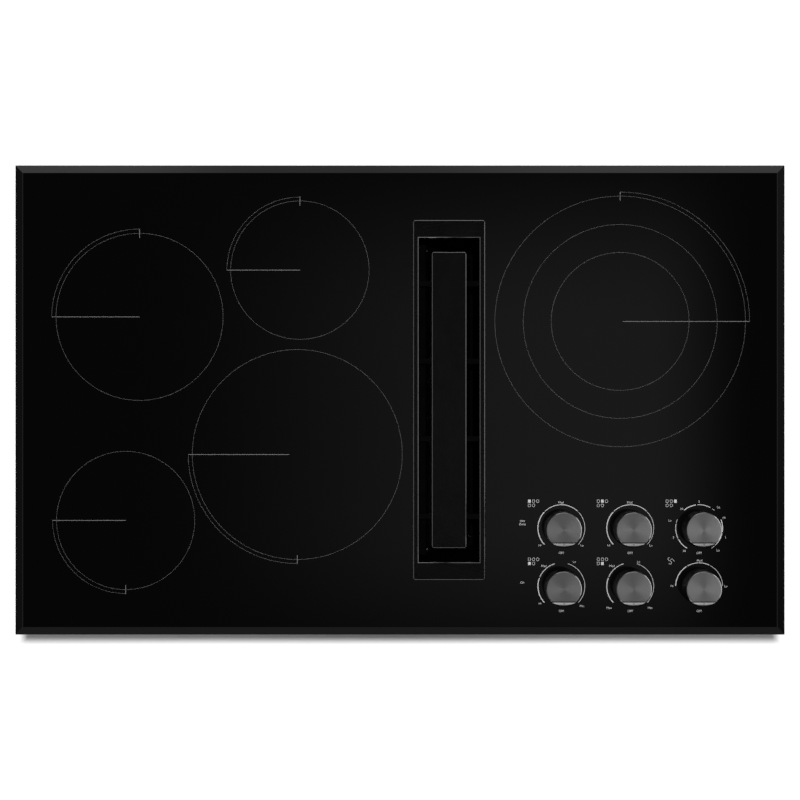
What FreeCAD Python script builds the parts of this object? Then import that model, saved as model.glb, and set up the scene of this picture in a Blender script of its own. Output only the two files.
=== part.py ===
import FreeCAD, Part

import math
import operator
import os

import Sketcher
from FreeCAD import Placement, Rotation, Vector

# Downdraft cooktop: a 36-inch glass panel that lies on a countertop, with five
# radiant elements, six dials and a vent slot whose blower hangs below.
# The origin is the middle of the glass outline, at the countertop's face.
# +X is the user's right, +Y the back and +Z up. Lengths are in millimetres.

SIZES = {
    # Values that several pieces share
    "sheet_gauge": 1.0,
    "seat_gap": 0.3,
    "running_fit": 0.08,
    "cut_overrun": 3.0,
    # Glass panel with its ground bevel, and the tape under its edge
    "glass_width": 913.0,
    "glass_depth": 557.0,
    "glass_thickness": 4.0,
    "bevel_width": 9.5,
    "bevel_drop": 2.6,
    "tape_thickness": 1.5,
    "tape_width": 10.0,
    "tape_inset": 5.5,
    "spindle_hole_radius": 6.5,
    # Vent grille: a rim on the glass, a skirt through it and a loose panel
    "rim_width": 85.3,
    "rim_length": 426.0,
    "rim_height": 2.2,
    "rim_corner_radius": 3.0,
    "vent_width": 72.2,
    "vent_length": 384.0,
    "skirt_wall": 2.5,
    "skirt_depth": 14.0,
    "skirt_clearance": 0.75,
    "cross_bar_width": 6.0,
    "cross_bar_height": 5.0,
    "cross_bar_spacing": 92.0,
    "vent_panel_width": 41.0,
    "vent_panel_length": 350.5,
    "vent_panel_thickness": 4.0,
    "vent_panel_radius": 2.5,
    # Grease filter, which leans across the chamber
    "filter_length": 376.0,
    "filter_thickness": 9.0,
    "filter_border": 12.0,
    "filter_head_drop": 32.9,
    "mesh_thickness": 6.0,
    # Vent chamber, from the glass down to the plenum
    "chamber_depth": 236.0,
    "chamber_flange": 8.0,
    "filter_ledge_width": 16.0,
    "filter_floor_rise": 24.0,
    "filter_stop_height": 10.0,
    # Plenum under the chamber, with the blower's wall set back from its front
    "plenum_width": 200.0,
    "plenum_depth": 224.0,
    "plenum_front_drop": 26.0,
    "plenum_step_drop": 44.0,
    "blower_wall": 30.0,
    # Blower: a scroll housing round a wheel with forward-curved blades
    "blower_plenum_drop": 132.0,
    "wheel_radius": 65.0,
    "wheel_width": 70.0,
    "wheel_plate": 1.2,
    "wheel_ring_height": 3.0,
    "wheel_end_gap": 6.0,
    "blade_inner_radius": 54.0,
    "blade_tip_inset": 1.0,
    "blade_curve": 13.0,
    "blade_thickness": 0.9,
    "hub_radius": 11.0,
    "hub_length": 22.0,
    "scroll_gap": 8.0,
    "scroll_growth": 10.0,
    "scroll_depth": 96.0,
    "tongue_drop": 15.0,
    "inlet_radius": 52.0,
    "outlet_reach": 130.0,
    "shaft_radius": 4.0,
    "shaft_hole_radius": 12.0,
    "shaft_in_motor": 30.0,
    "motor_radius": 46.0,
    "motor_length": 70.0,
    # Outlet, flared from the scroll's mouth to a round collar for a 5-inch duct
    "outlet_length": 60.0,
    "outlet_margin": 3.0,
    "collar_radius": 62.5,
    "collar_length": 40.0,
    # Burner box under the glass
    "box_tape_gap": 2.0,
    "box_drop": 73.5,
    "box_flange": 6.0,
    "box_chamber_gap": 0.5,
    "slot_length": 40.0,
    "slot_width": 6.0,
    "slot_spacing": 16.0,
    # Radiant elements
    "dish_border": 3.0,
    "dish_drop": 7.5,
    "dish_height": 24.0,
    "rim_insulation": 12.0,
    "base_drop": 15.5,
    "ribbon_height": 5.0,
    "ribbon_thickness": 0.8,
    "ribbon_break": 16.0,
    "limiter_drop": 4.5,
    "limiter_radius": 2.0,
    "limiter_notch": 5.0,
    "limiter_head_length": 20.0,
    "limiter_head_width": 16.0,
    "limiter_head_height": 12.0,
    # Rails that carry the elements on leaf springs
    "rail_width": 30.0,
    "rail_end_gap": 12.0,
    "spring_height": 6.0,
    "spring_width": 14.0,
    "spring_thickness": 0.8,
    "spring_length": 28.0,
    # Dials
    "knob_radius": 21.75,
    "knob_height": 24.0,
    "knob_gap": 3.6,
    "knob_bevel_drop": 2.6,
    "knob_bore_depth": 16.0,
    "spindle_width": 5.0,
    "spindle_fit": 0.05,
    "spindle_reach": 4.0,
    "push_travel": 2.5,
    # Switches, and the bracket that holds them under the glass
    "bracket_drop": 14.5,
    "bracket_gauge": 1.2,
    "bracket_side": 34.0,
    "bracket_end": 30.0,
    "bracket_box_gap": 3.3,
    "window_width": 14.0,
    "switch_width": 40.0,
    "switch_depth": 44.0,
    "switch_height": 36.0,
    "triple_switch_height": 46.0,
    "fan_control_height": 26.0,
    "rotor_radius": 12.0,
    "rotor_height": 8.0,
    "tab_width": 6.3,
    "tab_thickness": 0.8,
    "tab_length": 8.0,
    "lamp_margin": 6.0,
    "lamp_width": 12.0,
    "lamp_depth": 5.0,
    # Terminal box under the burner box
    "terminal_width": 120.0,
    "terminal_depth": 90.0,
    "terminal_height": 45.0,
    "knockout_radius": 11.1,
    "block_length": 60.0,
    "block_width": 24.0,
    "block_height": 18.0,
    # Hold-down brackets, which clamp against the countertop from below
    "counter_thickness": 38.0,
    "clamp_width": 30.0,
    "clamp_gauge": 3.0,
    "clamp_reach": 20.0,
    "clamp_drop": 22.0,
    "clamp_rise": 14.0,
    "clamp_slot": 6.6,
    "clamp_slot_length": 12.0,
}

# Counts and shares
BLADES = 20
BLADE_FLATS = 3
CROSS_BARS = 4
SLOTS = 4
RIBBON_SIDES = 12
ROTOR_SIDES = 8
HEX_SIDES = 6
pointer_chord_share = 0.73
spring_place_share = 0.45
spring_slope_share = 0.34
limiter_reach_share = 0.6
tab_place_share = 0.3

# Two numbers this close are the same
SAME = 1e-6

# The zones and dials are laid out on two fields of the glass, one each side of the vent.
# Along X a share counts from a field's left edge, in the field's width. Along Y it counts
# from the front edge of the glass, in the glass's depth. A radius is a share of the field's
# width or, where the glass is shallow for its width, of what its depth allows.
vent_place_share = 0.06364
left_field_depth_share = 0.7932
right_field_depth_share = 0.5845
zone_shares = {
    "rear_left": (0.2793, 0.6768, 0.2241),
    "rear_centre": (0.7094, 0.7763, 0.1856),
    "front_centre": (0.7024, 0.384, 0.2816),
    "front_left": (0.242, 0.2438, 0.1854),
    "right": (0.4745, 0.6672, 0.4562),
}
dial_column_shares = (0.2604, 0.5111, 0.7618)
dial_row_shares = (0.2273, 0.1037)
lamp_share = 0.1173
slot_row_shares = (0.4779, 0.1858)
terminal_shares = (0.5025, 0.8232)

# Each zone's ribbon loops, as shares of its radius
ribbon_shares = {
    "rear_left": (0.42, 0.78),
    "rear_centre": (0.7,),
    "front_centre": (0.42, 0.78),
    "front_left": (0.7,),
    "right": (0.36, 0.64, 0.86),
}

# The side where each zone's limiter and wires come out, in degrees from +X
LIMITER_ANGLES = {
    "rear_left": -60,
    "rear_centre": 0,
    "front_centre": -90,
    "front_left": 110,
    "right": -90,
}

doc = FreeCAD.newDocument("DowndraftCooktop")
sheet = doc.addObject("Spreadsheet::Sheet", "Sizes")
for row, (alias, value) in enumerate(SIZES.items(), 1):
    sheet.set(f"A{row}", alias)
    sheet.set(f"B{row}", str(value))
    sheet.setAlias(f"B{row}", alias)
doc.recompute()

SIGNS = {"+": operator.add, "-": operator.sub, "*": operator.mul, "/": operator.truediv}


class Size:
    """A length from the sheet: its number now, and the expression that binds it."""

    def __init__(self, number, formula):
        self.number = number
        self.formula = formula

    def __add__(self, other):
        return joined(self, "+", other)

    def __radd__(self, other):
        return joined(other, "+", self)

    def __sub__(self, other):
        return joined(self, "-", other)

    def __rsub__(self, other):
        return joined(other, "-", self)

    def __mul__(self, other):
        return joined(self, "*", other)

    def __rmul__(self, other):
        return joined(other, "*", self)

    def __truediv__(self, other):
        return joined(self, "/", other)

    def __neg__(self):
        return joined(-1, "*", self)


def number(value):
    return value.number if isinstance(value, Size) else value


def formula(value):
    return value.formula if isinstance(value, Size) else str(value)


def joined(left, sign, right):
    result = SIGNS[sign](number(left), number(right))
    return Size(result, f"({formula(left)} {sign} {formula(right)})")


def sine(angle):
    return Size(math.sin(math.radians(angle.number)), f"sin({angle.formula})")


def cosine(angle):
    return Size(math.cos(math.radians(angle.number)), f"cos({angle.formula})")


def root(value):
    return Size(math.sqrt(value.number), f"sqrt({value.formula})")


def arctangent(ratio):
    return Size(math.degrees(math.atan(ratio.number)), f"atan({ratio.formula})")


def smaller(first, second):
    return Size(min(first.number, second.number), f"min({first.formula}; {second.formula})")


class Named:
    """The sheet's sizes by their aliases."""

    def __getattr__(self, alias):
        return Size(SIZES[alias], f"Sizes.{alias}")


s = Named()


def bind(thing, field, value):
    thing.setExpression(field, formula(value))


def place(piece, x=0, y=0, z=0):
    """Move a piece to a place worked out from the sheet."""
    for axis, value in zip("xyz", (x, y, z)):
        if isinstance(value, Size):
            bind(piece, f".Placement.Base.{axis}", value)
    return piece


def middle(length):
    """The two ends of a length that is centred on zero."""
    return -length / 2, length / 2


nodes = []


def node(piece, label):
    """Give a finished piece the name of its file."""
    piece.Label = label
    nodes.append(piece)
    return piece


# Solids and booleans


def block(x, y, z):
    """A box from its two ends along each axis."""
    box = doc.addObject("Part::Box", "Block")
    for field, (low, high) in zip(("Length", "Width", "Height"), (x, y, z)):
        bind(box, field, high - low)
    return place(box, x[0], y[0], z[0])


def post(radius, z, x=0, y=0):
    """An upright cylinder."""
    cylinder = doc.addObject("Part::Cylinder", "Post")
    bind(cylinder, "Radius", radius)
    bind(cylinder, "Height", z[1] - z[0])
    return place(cylinder, x, y, z[0])


def prism(sides, radius, z, x=0, y=0):
    """An upright prism with a regular base."""
    solid = doc.addObject("Part::Prism", "Prism")
    solid.Polygon = sides
    bind(solid, "Circumradius", radius)
    bind(solid, "Height", z[1] - z[0])
    return place(solid, x, y, z[0])


def drum(radius, y, x=0, z=0):
    """A cylinder that lies along Y, from the greater y towards the front."""
    cylinder = doc.addObject("Part::Cylinder", "Drum")
    cylinder.Placement = Placement(Vector(), Rotation(Vector(1, 0, 0), 90))
    bind(cylinder, "Radius", radius)
    bind(cylinder, "Height", y[1] - y[0])
    return place(cylinder, x, y[1], z)


def fuse(*pieces):
    joint = doc.addObject("Part::MultiFuse", "Fusion")
    joint.Shapes = list(pieces)
    joint.Refine = True
    return joint


def cut(base, *tools):
    result = doc.addObject("Part::Cut", "Cut")
    result.Base = base
    result.Tool = tools[0] if len(tools) == 1 else fuse(*tools)
    result.Refine = True
    return result


def group(pieces):
    """Separate solids that share one node."""
    compound = doc.addObject("Part::Compound", "Group")
    compound.Links = list(pieces)
    return compound


# Bodies made from sketches


class Piece:
    """One body, made feature by feature in a frame of its own."""

    def __init__(self, label):
        self.body = doc.addObject("PartDesign::Body", label)
        self.body.Label = label

    def origin(self, role):
        return next(f for f in self.body.Origin.OriginFeatures if f.Role == role)

    def sketch(self, plane="XY_Plane", lift=0):
        """An empty sketch on one of the body's planes, lifted along the plane's normal."""
        sketch = self.body.newObject("Sketcher::SketchObject", "Outline")
        sketch.AttachmentSupport = (self.origin(plane), "")
        sketch.MapMode = "FlatFace"
        if isinstance(lift, Size):
            bind(sketch, "AttachmentOffset.Base.z", lift)
        return sketch

    def rectangle(self, x, y, lift=0, plane="XY_Plane"):
        return rectangle(self.sketch(plane, lift), x, y)

    def ring(self, width, depth, border, lift=0):
        """A rectangular ring, given by its opening and the width of its border."""
        sketch = self.rectangle(middle(width), middle(depth), lift)
        return rectangle(sketch, middle(width + 2 * border), middle(depth + 2 * border))

    def feature(self, kind, sketch, length, reverse=False, both=False):
        made = self.body.newObject(kind, kind.split("::")[1])
        made.Profile = sketch
        bind(made, "Length", length)
        made.Reversed = reverse
        if both:
            made.SideType = "Symmetric"
        return made

    def pad(self, sketch, length, **ways):
        return self.feature("PartDesign::Pad", sketch, length, **ways)

    def pocket(self, sketch, length, **ways):
        return self.feature("PartDesign::Pocket", sketch, length, **ways)

    def repeat(self, feature, axis, count, length):
        """A row of a feature's copies along one of the body's axes, or all round it."""
        round_axis = length is None
        kind = "PolarPattern" if round_axis else "LinearPattern"
        pattern = self.body.newObject(f"PartDesign::{kind}", kind)
        pattern.Originals = [feature]
        if round_axis:
            pattern.Axis = (self.origin(axis), [""])
            pattern.Angle = 360
        else:
            pattern.Direction = (self.origin(axis), [""])
            bind(pattern, "Length", length)
        pattern.Occurrences = count
        self.body.Tip = pattern
        return pattern

    def fillet(self, feature, radius, x, y):
        """Round the upright edges of a feature that pass through a corner of a rectangle."""
        doc.recompute()
        names = []
        for index, edge in enumerate(feature.Shape.Edges, 1):
            ends = [vertex.Point for vertex in edge.Vertexes]
            upright = len(ends) == 2 and (ends[0] - ends[1]).cross(Vector(0, 0, 1)).Length < SAME
            if upright and near(ends[0].x, x) and near(ends[0].y, y):
                names.append(f"Edge{index}")
        made = self.body.newObject("PartDesign::Fillet", "Corners")
        made.Base = (feature, names)
        bind(made, "Radius", radius)
        return made

    def finish(self):
        return node(self.body, self.body.Label)


def near(value, ends):
    return any(abs(value - number(end)) < SAME for end in ends)


def hold(sketch, geometry, point, x, y):
    """Hold one point of a sketch at its two coordinates."""
    for kind, axis, value in (("DistanceX", -2, x), ("DistanceY", -1, y)):
        if isinstance(value, Size):
            rule = Sketcher.Constraint(kind, -1, 1, geometry, point, value.number)
            index = sketch.addConstraint(rule)
            bind(sketch, f"Constraints[{index}]", value)
        else:
            sketch.addConstraint(Sketcher.Constraint("PointOnObject", geometry, point, axis))


def outline(sketch, points):
    """A closed outline of straight lines through points."""
    first = sketch.GeometryCount
    corners = [Vector(number(x), number(y), 0) for x, y in points]
    lines = [Part.LineSegment(a, b) for a, b in zip(corners, corners[1:] + corners[:1])]
    sketch.addGeometry(lines, False)
    for step, (x, y) in enumerate(points):
        before = first + (step - 1) % len(points)
        sketch.addConstraint(Sketcher.Constraint("Coincident", before, 2, first + step, 1))
        hold(sketch, first + step, 1, x, y)
    return sketch


def rectangle(sketch, x, y):
    return outline(sketch, [(x[0], y[0]), (x[1], y[0]), (x[1], y[1]), (x[0], y[1])])


def circle(sketch, radius, x=0, y=0):
    index = sketch.GeometryCount
    sketch.addGeometry(Part.Circle(Vector(number(x), number(y), 0), Vector(0, 0, 1), number(radius)), False)
    hold(sketch, index, 3, x, y)
    rule = sketch.addConstraint(Sketcher.Constraint("Radius", index, number(radius)))
    bind(sketch, f"Constraints[{rule}]", radius)
    return sketch


def arc(sketch, x, y, radius, start, end):
    """An arc about a held centre, between two directions in degrees."""
    round_edge = Part.Circle(Vector(number(x), number(y), 0), Vector(0, 0, 1), number(radius))
    piece = Part.ArcOfCircle(round_edge, math.radians(start), math.radians(end))
    index = sketch.GeometryCount
    sketch.addGeometry(piece, False)
    hold(sketch, index, 3, x, y)
    return index


def set_radius(sketch, index, radius):
    rule = sketch.addConstraint(Sketcher.Constraint("Radius", index, number(radius)))
    bind(sketch, f"Constraints[{rule}]", radius)


# Heights and places that several pieces share

glass_bottom = s.tape_thickness
glass_top = glass_bottom + s.glass_thickness
rim_bottom = glass_top + s.seat_gap
rim_top = rim_bottom + s.rim_height
vent_panel_bottom = rim_top - s.vent_panel_thickness
cutout_width = s.vent_width + 2 * s.skirt_wall + 2 * s.skirt_clearance
cutout_length = s.vent_length + 2 * s.skirt_wall + 2 * s.skirt_clearance
chamber_width = cutout_width + 2 * s.sheet_gauge
chamber_length = cutout_length + 2 * s.sheet_gauge
filter_floor_depth = s.chamber_depth - s.filter_floor_rise
filter_run = s.vent_width - s.filter_thickness
filter_rise = filter_floor_depth - s.filter_head_drop
filter_height = root(filter_run * filter_run + filter_rise * filter_rise)
filter_tilt = arctangent(filter_run / filter_rise)
blower_drop = s.chamber_depth + s.blower_plenum_drop
box_margin = s.tape_inset + s.tape_width + s.box_tape_gap + s.box_flange
box_width = s.glass_width - 2 * box_margin
box_depth = s.glass_depth - 2 * box_margin
box_bottom = glass_bottom - s.box_drop
box_floor = box_bottom + s.sheet_gauge
dish_top = glass_bottom - s.dish_drop
dish_bottom = dish_top - s.dish_height
rail_top = dish_bottom - s.spring_height
bracket_top = glass_bottom - s.bracket_drop
switch_top = bracket_top - s.bracket_gauge
rotor_top = switch_top - s.seat_gap
rotor_bottom = rotor_top - s.rotor_height
spindle_bottom = rotor_bottom - s.spindle_reach
knob_base = glass_top + s.knob_gap
vent_x = s.glass_width * vent_place_share
vent_half = chamber_width / 2 + s.chamber_flange
field_end = box_width / 2 - s.sheet_gauge
left_field = -field_end, vent_x - vent_half
right_field = vent_x + vent_half, field_end


def field_place(field, shares):
    """A place on a field, from its shares along X and Y."""
    low, high = field
    return low + (high - low) * shares[0], s.glass_depth * shares[1] - s.glass_depth / 2


lamp_x = field_place(right_field, (lamp_share, 0))[0]


def dial_place(dial):
    """Dials 1 to 3 stand in the rear row and 4 to 6 in the front row, from the left."""
    row, column = divmod(dial - 1, 3)
    return field_place(right_field, (dial_column_shares[column], dial_row_shares[row]))


def zone_place(zone):
    field = right_field if zone == "right" else left_field
    return field_place(field, zone_shares[zone][:2])


def zone_radius(zone):
    low, high = right_field if zone == "right" else left_field
    depth_share = right_field_depth_share if zone == "right" else left_field_depth_share
    return smaller(high - low, s.glass_depth * depth_share) * zone_shares[zone][2]


# Glass panel and the tape under it


def glass_panel():
    piece = Piece("glass_panel")
    width, depth = middle(s.glass_width), middle(s.glass_depth)
    slab = piece.pad(piece.rectangle(width, depth, glass_bottom), s.glass_thickness)
    doc.recompute()
    names = []
    for index, edge in enumerate(slab.Shape.Edges, 1):
        if near(edge.BoundBox.ZMin, [glass_top]):
            names.append(f"Edge{index}")
    bevel = piece.body.newObject("PartDesign::Chamfer", "Bevel")
    bevel.Base = (slab, names)
    bevel.ChamferType = "Two distances"
    bind(bevel, "Size", s.bevel_drop)
    bind(bevel, "Size2", s.bevel_width)
    x = [vent_x + end for end in middle(cutout_width)]
    y = middle(cutout_length)
    piece.pocket(piece.rectangle(x, y, glass_top), s.glass_thickness + s.cut_overrun)
    holes = piece.sketch(lift=glass_top)
    for dial in range(1, 7):
        circle(holes, s.spindle_hole_radius, *dial_place(dial))
    piece.pocket(holes, s.glass_thickness + s.cut_overrun)
    piece.finish()


def seal_tape():
    piece = Piece("seal_tape")
    inset = s.tape_inset + s.tape_width
    opening = s.glass_width - 2 * inset, s.glass_depth - 2 * inset
    piece.pad(piece.ring(*opening, s.tape_width), s.tape_thickness)
    piece.finish()


# Vent grille, which lifts off the glass


def grille_frame():
    piece = Piece("grille_frame")
    place(piece.body, x=vent_x)
    width, length = middle(s.rim_width), middle(s.rim_length)
    rim = piece.pad(piece.rectangle(width, length, rim_bottom), s.rim_height)
    piece.fillet(rim, s.rim_corner_radius, width, length)
    piece.pad(
        piece.rectangle(
            middle(s.vent_width + 2 * s.skirt_wall),
            middle(s.vent_length + 2 * s.skirt_wall),
            rim_bottom,
        ),
        s.skirt_depth,
        reverse=True,
    )
    throat = piece.rectangle(middle(s.vent_width), middle(s.vent_length), rim_top)
    piece.pocket(throat, s.rim_height + s.skirt_depth + s.cut_overrun)
    first_bar = -s.cross_bar_spacing * (CROSS_BARS - 1) / 2
    bar = [first_bar + end for end in middle(s.cross_bar_width)]
    reach = middle(s.vent_width + s.skirt_wall)
    sketch = piece.rectangle(reach, bar, vent_panel_bottom)
    bars = piece.pad(sketch, s.cross_bar_height, reverse=True)
    piece.repeat(bars, "Y_Axis", CROSS_BARS, s.cross_bar_spacing * (CROSS_BARS - 1))
    piece.finish()


def grille_panel():
    piece = Piece("grille_panel")
    place(piece.body, x=vent_x)
    width, length = middle(s.vent_panel_width), middle(s.vent_panel_length)
    plate = piece.pad(piece.rectangle(width, length, vent_panel_bottom), s.vent_panel_thickness)
    piece.fillet(plate, s.vent_panel_radius, width, length)
    piece.finish()


# Grease filter


def filter_height_above(low):
    """The height of the filter's middle, when its lowest corner is at a height."""
    return low + filter_rise / 2 + s.filter_thickness / 2 * sine(filter_tilt)


def lean(piece):
    """Lean a piece of the filter across the chamber, its top to the left."""
    piece.Placement = Placement(Vector(), Rotation(Vector(0, 1, 0), -filter_tilt.number))
    bind(piece, ".Placement.Rotation.Angle", -filter_tilt)
    low = s.seat_gap - filter_floor_depth
    return place(piece, vent_x, 0, filter_height_above(low))


def grease_filter():
    border = 2 * s.filter_border
    outer = block(middle(s.filter_thickness), middle(s.filter_length), middle(filter_height))
    window = block(
        middle(s.filter_thickness + s.cut_overrun),
        middle(s.filter_length - border),
        middle(filter_height - border),
    )
    wall = 2 * s.sheet_gauge
    inside = middle(s.filter_length - wall), middle(filter_height - wall)
    slot = block(middle(s.mesh_thickness), *inside)
    node(lean(cut(outer, window, slot)), "filter_frame")
    mesh = Piece("filter_mesh")
    sketch = mesh.rectangle(middle(s.mesh_thickness), inside[0])
    mesh.pad(sketch, filter_height - wall, both=True)
    lean(mesh.body)
    mesh.finish()


# Vent chamber and plenum


def vent_chamber():
    piece = Piece("vent_chamber")
    place(piece.body, x=vent_x)
    gauge = s.sheet_gauge
    walls = piece.ring(cutout_width, cutout_length, gauge, -s.chamber_depth)
    piece.pad(walls, s.chamber_depth + glass_bottom)
    for lift in (glass_bottom - gauge, -s.chamber_depth):
        piece.pad(piece.ring(chamber_width, chamber_length, s.chamber_flange, lift), gauge)
    wall = cutout_width / 2
    shelf = wall - s.filter_ledge_width, wall
    ledge = piece.rectangle(shelf, middle(cutout_length), -filter_floor_depth)
    piece.pad(ledge, gauge, reverse=True)
    corner = filter_run / 2 + s.filter_thickness / 2 * cosine(filter_tilt)
    top = 2 * filter_height_above(s.seat_gap - filter_floor_depth) + filter_floor_depth - s.seat_gap
    stop = piece.rectangle((-wall, -corner - s.seat_gap), middle(s.filter_length), top)
    piece.pad(stop, s.filter_stop_height, reverse=True)
    piece.finish()


def plenum():
    """A deep box at the back, and a shallow sloping one over the blower."""
    piece = Piece("plenum")
    place(piece.body, x=vent_x, z=-s.chamber_depth)
    back = chamber_length / 2 + s.chamber_flange
    gauge = s.sheet_gauge

    def side(inset):
        corners = [
            (-back + inset, -inset),
            (back - inset, -inset),
            (back - inset, -s.plenum_depth + inset),
            (-s.blower_wall + inset, -s.plenum_depth + inset),
            (-s.blower_wall + inset, -s.plenum_step_drop + inset),
            (-back + inset, -s.plenum_front_drop + inset),
        ]
        return outline(piece.sketch("YZ_Plane"), corners)

    piece.pad(side(0), s.plenum_width, both=True)
    piece.pocket(side(gauge), s.plenum_width - 2 * gauge, both=True)
    mouth = piece.rectangle(middle(cutout_width), middle(cutout_length))
    piece.pocket(mouth, gauge + s.cut_overrun)
    inlet = piece.sketch("XZ_Plane", s.blower_wall)
    circle(inlet, s.inlet_radius, 0, s.chamber_depth - blower_drop)
    piece.pocket(inlet, gauge + s.cut_overrun)
    piece.finish()


# Blower, made about the wheel's axis


def at_blower(piece):
    return place(piece, x=vent_x, z=-blower_drop)


scroll_start = s.wheel_radius + s.scroll_gap + s.scroll_growth / 2
scroll_bottom = scroll_start + 2 * s.scroll_growth + s.scroll_growth / 2
scroll_front = s.blower_wall + s.scroll_depth
wheel_back = s.blower_wall + s.sheet_gauge + s.wheel_end_gap
wheel_front = wheel_back + s.wheel_width
outlet_top = -s.tongue_drop


def scroll(sketch, spread, reach):
    """The scroll's outline: three quarter arcs, each larger by the growth, then the straight mouth.

    Spread moves the whole outline out from the air passage.
    """
    half = s.scroll_growth / 2
    centres = ((half, half), (half, -half), (-half, -half))
    arcs = []
    for turn, (x, y) in enumerate(centres):
        radius = scroll_start + s.scroll_growth * turn + spread
        start = 90 - 90 * turn
        arcs.append(arc(sketch, x, y, radius, start, start + 90))
    set_radius(sketch, arcs[0], scroll_start + spread)
    left = half - scroll_start - spread
    low = -scroll_bottom - spread
    tongue = outlet_top + spread
    corners = [(-half, low), (-reach, low), (-reach, tongue), (left, tongue), (left, half)]
    points = [Vector(number(x), number(y), 0) for x, y in corners]
    lines = [Part.LineSegment(a, b) for a, b in zip(points, points[1:])]
    first = sketch.GeometryCount
    sketch.addGeometry(lines, False)
    rules = [
        Sketcher.Constraint("Horizontal", arcs[0], 3, arcs[0], 2),
        Sketcher.Constraint("Vertical", arcs[0], 3, arcs[0], 1),
        Sketcher.Constraint("Coincident", arcs[0], 1, arcs[1], 2),
        Sketcher.Constraint("Horizontal", arcs[1], 3, arcs[1], 1),
        Sketcher.Constraint("Coincident", arcs[1], 1, arcs[2], 2),
        Sketcher.Constraint("Vertical", arcs[2], 3, arcs[2], 1),
        Sketcher.Constraint("Coincident", arcs[2], 1, first, 1),
        Sketcher.Constraint("Coincident", first, 2, first + 1, 1),
        Sketcher.Constraint("Coincident", first + 1, 2, first + 2, 1),
        Sketcher.Constraint("Coincident", first + 2, 2, first + 3, 1),
        Sketcher.Constraint("Coincident", first + 3, 2, arcs[0], 2),
        Sketcher.Constraint("Horizontal", first),
        Sketcher.Constraint("Vertical", first + 1),
        Sketcher.Constraint("Vertical", first + 3),
    ]
    sketch.addConstraint(rules)
    hold(sketch, first + 1, 2, -reach, tongue)
    sketch.addConstraint(Sketcher.Constraint("Horizontal", first + 2))
    return sketch


def volute_housing():
    piece = Piece("volute_housing")
    at_blower(piece.body)
    gauge = s.sheet_gauge
    shell = scroll(piece.sketch("XZ_Plane", s.blower_wall), gauge, s.outlet_reach)
    piece.pad(shell, s.scroll_depth)
    inside = scroll(piece.sketch("XZ_Plane", s.blower_wall + gauge), 0, s.outlet_reach + s.cut_overrun)
    piece.pocket(inside, s.scroll_depth, reverse=True)
    inlet = circle(piece.sketch("XZ_Plane", s.blower_wall), s.inlet_radius)
    piece.pocket(inlet, gauge + s.cut_overrun, reverse=True)
    piece.finish()


def blower_cover():
    piece = Piece("blower_cover")
    at_blower(piece.body)
    piece.pad(scroll(piece.sketch("XZ_Plane", scroll_front), s.sheet_gauge, s.outlet_reach), s.sheet_gauge)
    hole = circle(piece.sketch("XZ_Plane", scroll_front), s.shaft_hole_radius)
    piece.pocket(hole, s.sheet_gauge + s.cut_overrun, reverse=True)
    piece.finish()


def blade(sketch):
    """One forward-curved blade, pressed in flats along an arc.

    It leaves the inner circle radially and bends the way the wheel turns.
    """
    start = s.blade_inner_radius + s.blade_thickness
    reach = s.wheel_radius - s.blade_tip_inset - start
    faces = []
    for radius in (s.blade_curve, s.blade_curve - s.blade_thickness):
        face = []
        for flat in range(BLADE_FLATS + 1):
            along = reach * flat / BLADE_FLATS
            face.append((start + along, root(radius * radius - along * along) - s.blade_curve))
        faces.append(face)
    return outline(sketch, faces[0] + faces[1][::-1])


def blower_wheel():
    piece = Piece("blower_wheel")
    at_blower(piece.body)
    plate = wheel_front - s.wheel_plate
    piece.pad(circle(piece.sketch("XZ_Plane", plate), s.wheel_radius), s.wheel_plate)
    piece.pad(circle(piece.sketch("XZ_Plane", plate), s.hub_radius), s.hub_length, reverse=True)
    bore = circle(piece.sketch("XZ_Plane", wheel_front), s.shaft_radius)
    piece.pocket(bore, s.wheel_plate + s.hub_length + s.cut_overrun)
    ring_front = wheel_back + s.wheel_ring_height
    vane = piece.pad(blade(piece.sketch("XZ_Plane", ring_front)), plate - ring_front)
    piece.repeat(vane, "Y_Axis", BLADES, None)
    ring = circle(piece.sketch("XZ_Plane", wheel_back), s.wheel_radius)
    circle(ring, s.blade_inner_radius)
    piece.pad(ring, s.wheel_ring_height)
    piece.finish()


def motor_and_shaft():
    motor_back = scroll_front + s.sheet_gauge
    hub_back = wheel_front - s.wheel_plate - s.hub_length
    can = drum(s.motor_radius, (-motor_back - s.motor_length, -motor_back))
    shaft_end = motor_back + s.shaft_in_motor
    bore = drum(s.shaft_radius + s.running_fit, (-shaft_end - s.seat_gap, -motor_back + s.cut_overrun))
    node(at_blower(cut(can, bore)), "blower_motor")
    shaft = drum(s.shaft_radius, (-shaft_end, -hub_back))
    shaft.Placement = Placement(Vector(), shaft.Placement.Rotation)
    place(shaft, vent_x, -hub_back, -blower_drop)
    node(shaft, "motor_shaft")


def flare(y, mouth, end):
    """A four-sided funnel along Y between two rectangles, each given by its sides along X and Z."""
    solid = doc.addObject("Part::Wedge", "Flare")
    fields = {"Ymin": y[0], "Ymax": y[1]}
    for prefix, (across, upright) in (("", mouth), ("2", end)):
        fields[f"X{prefix}min"], fields[f"X{prefix}max"] = across
        fields[f"Z{prefix}min"], fields[f"Z{prefix}max"] = upright
    for field, value in fields.items():
        bind(solid, field, value)
    return solid


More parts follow.
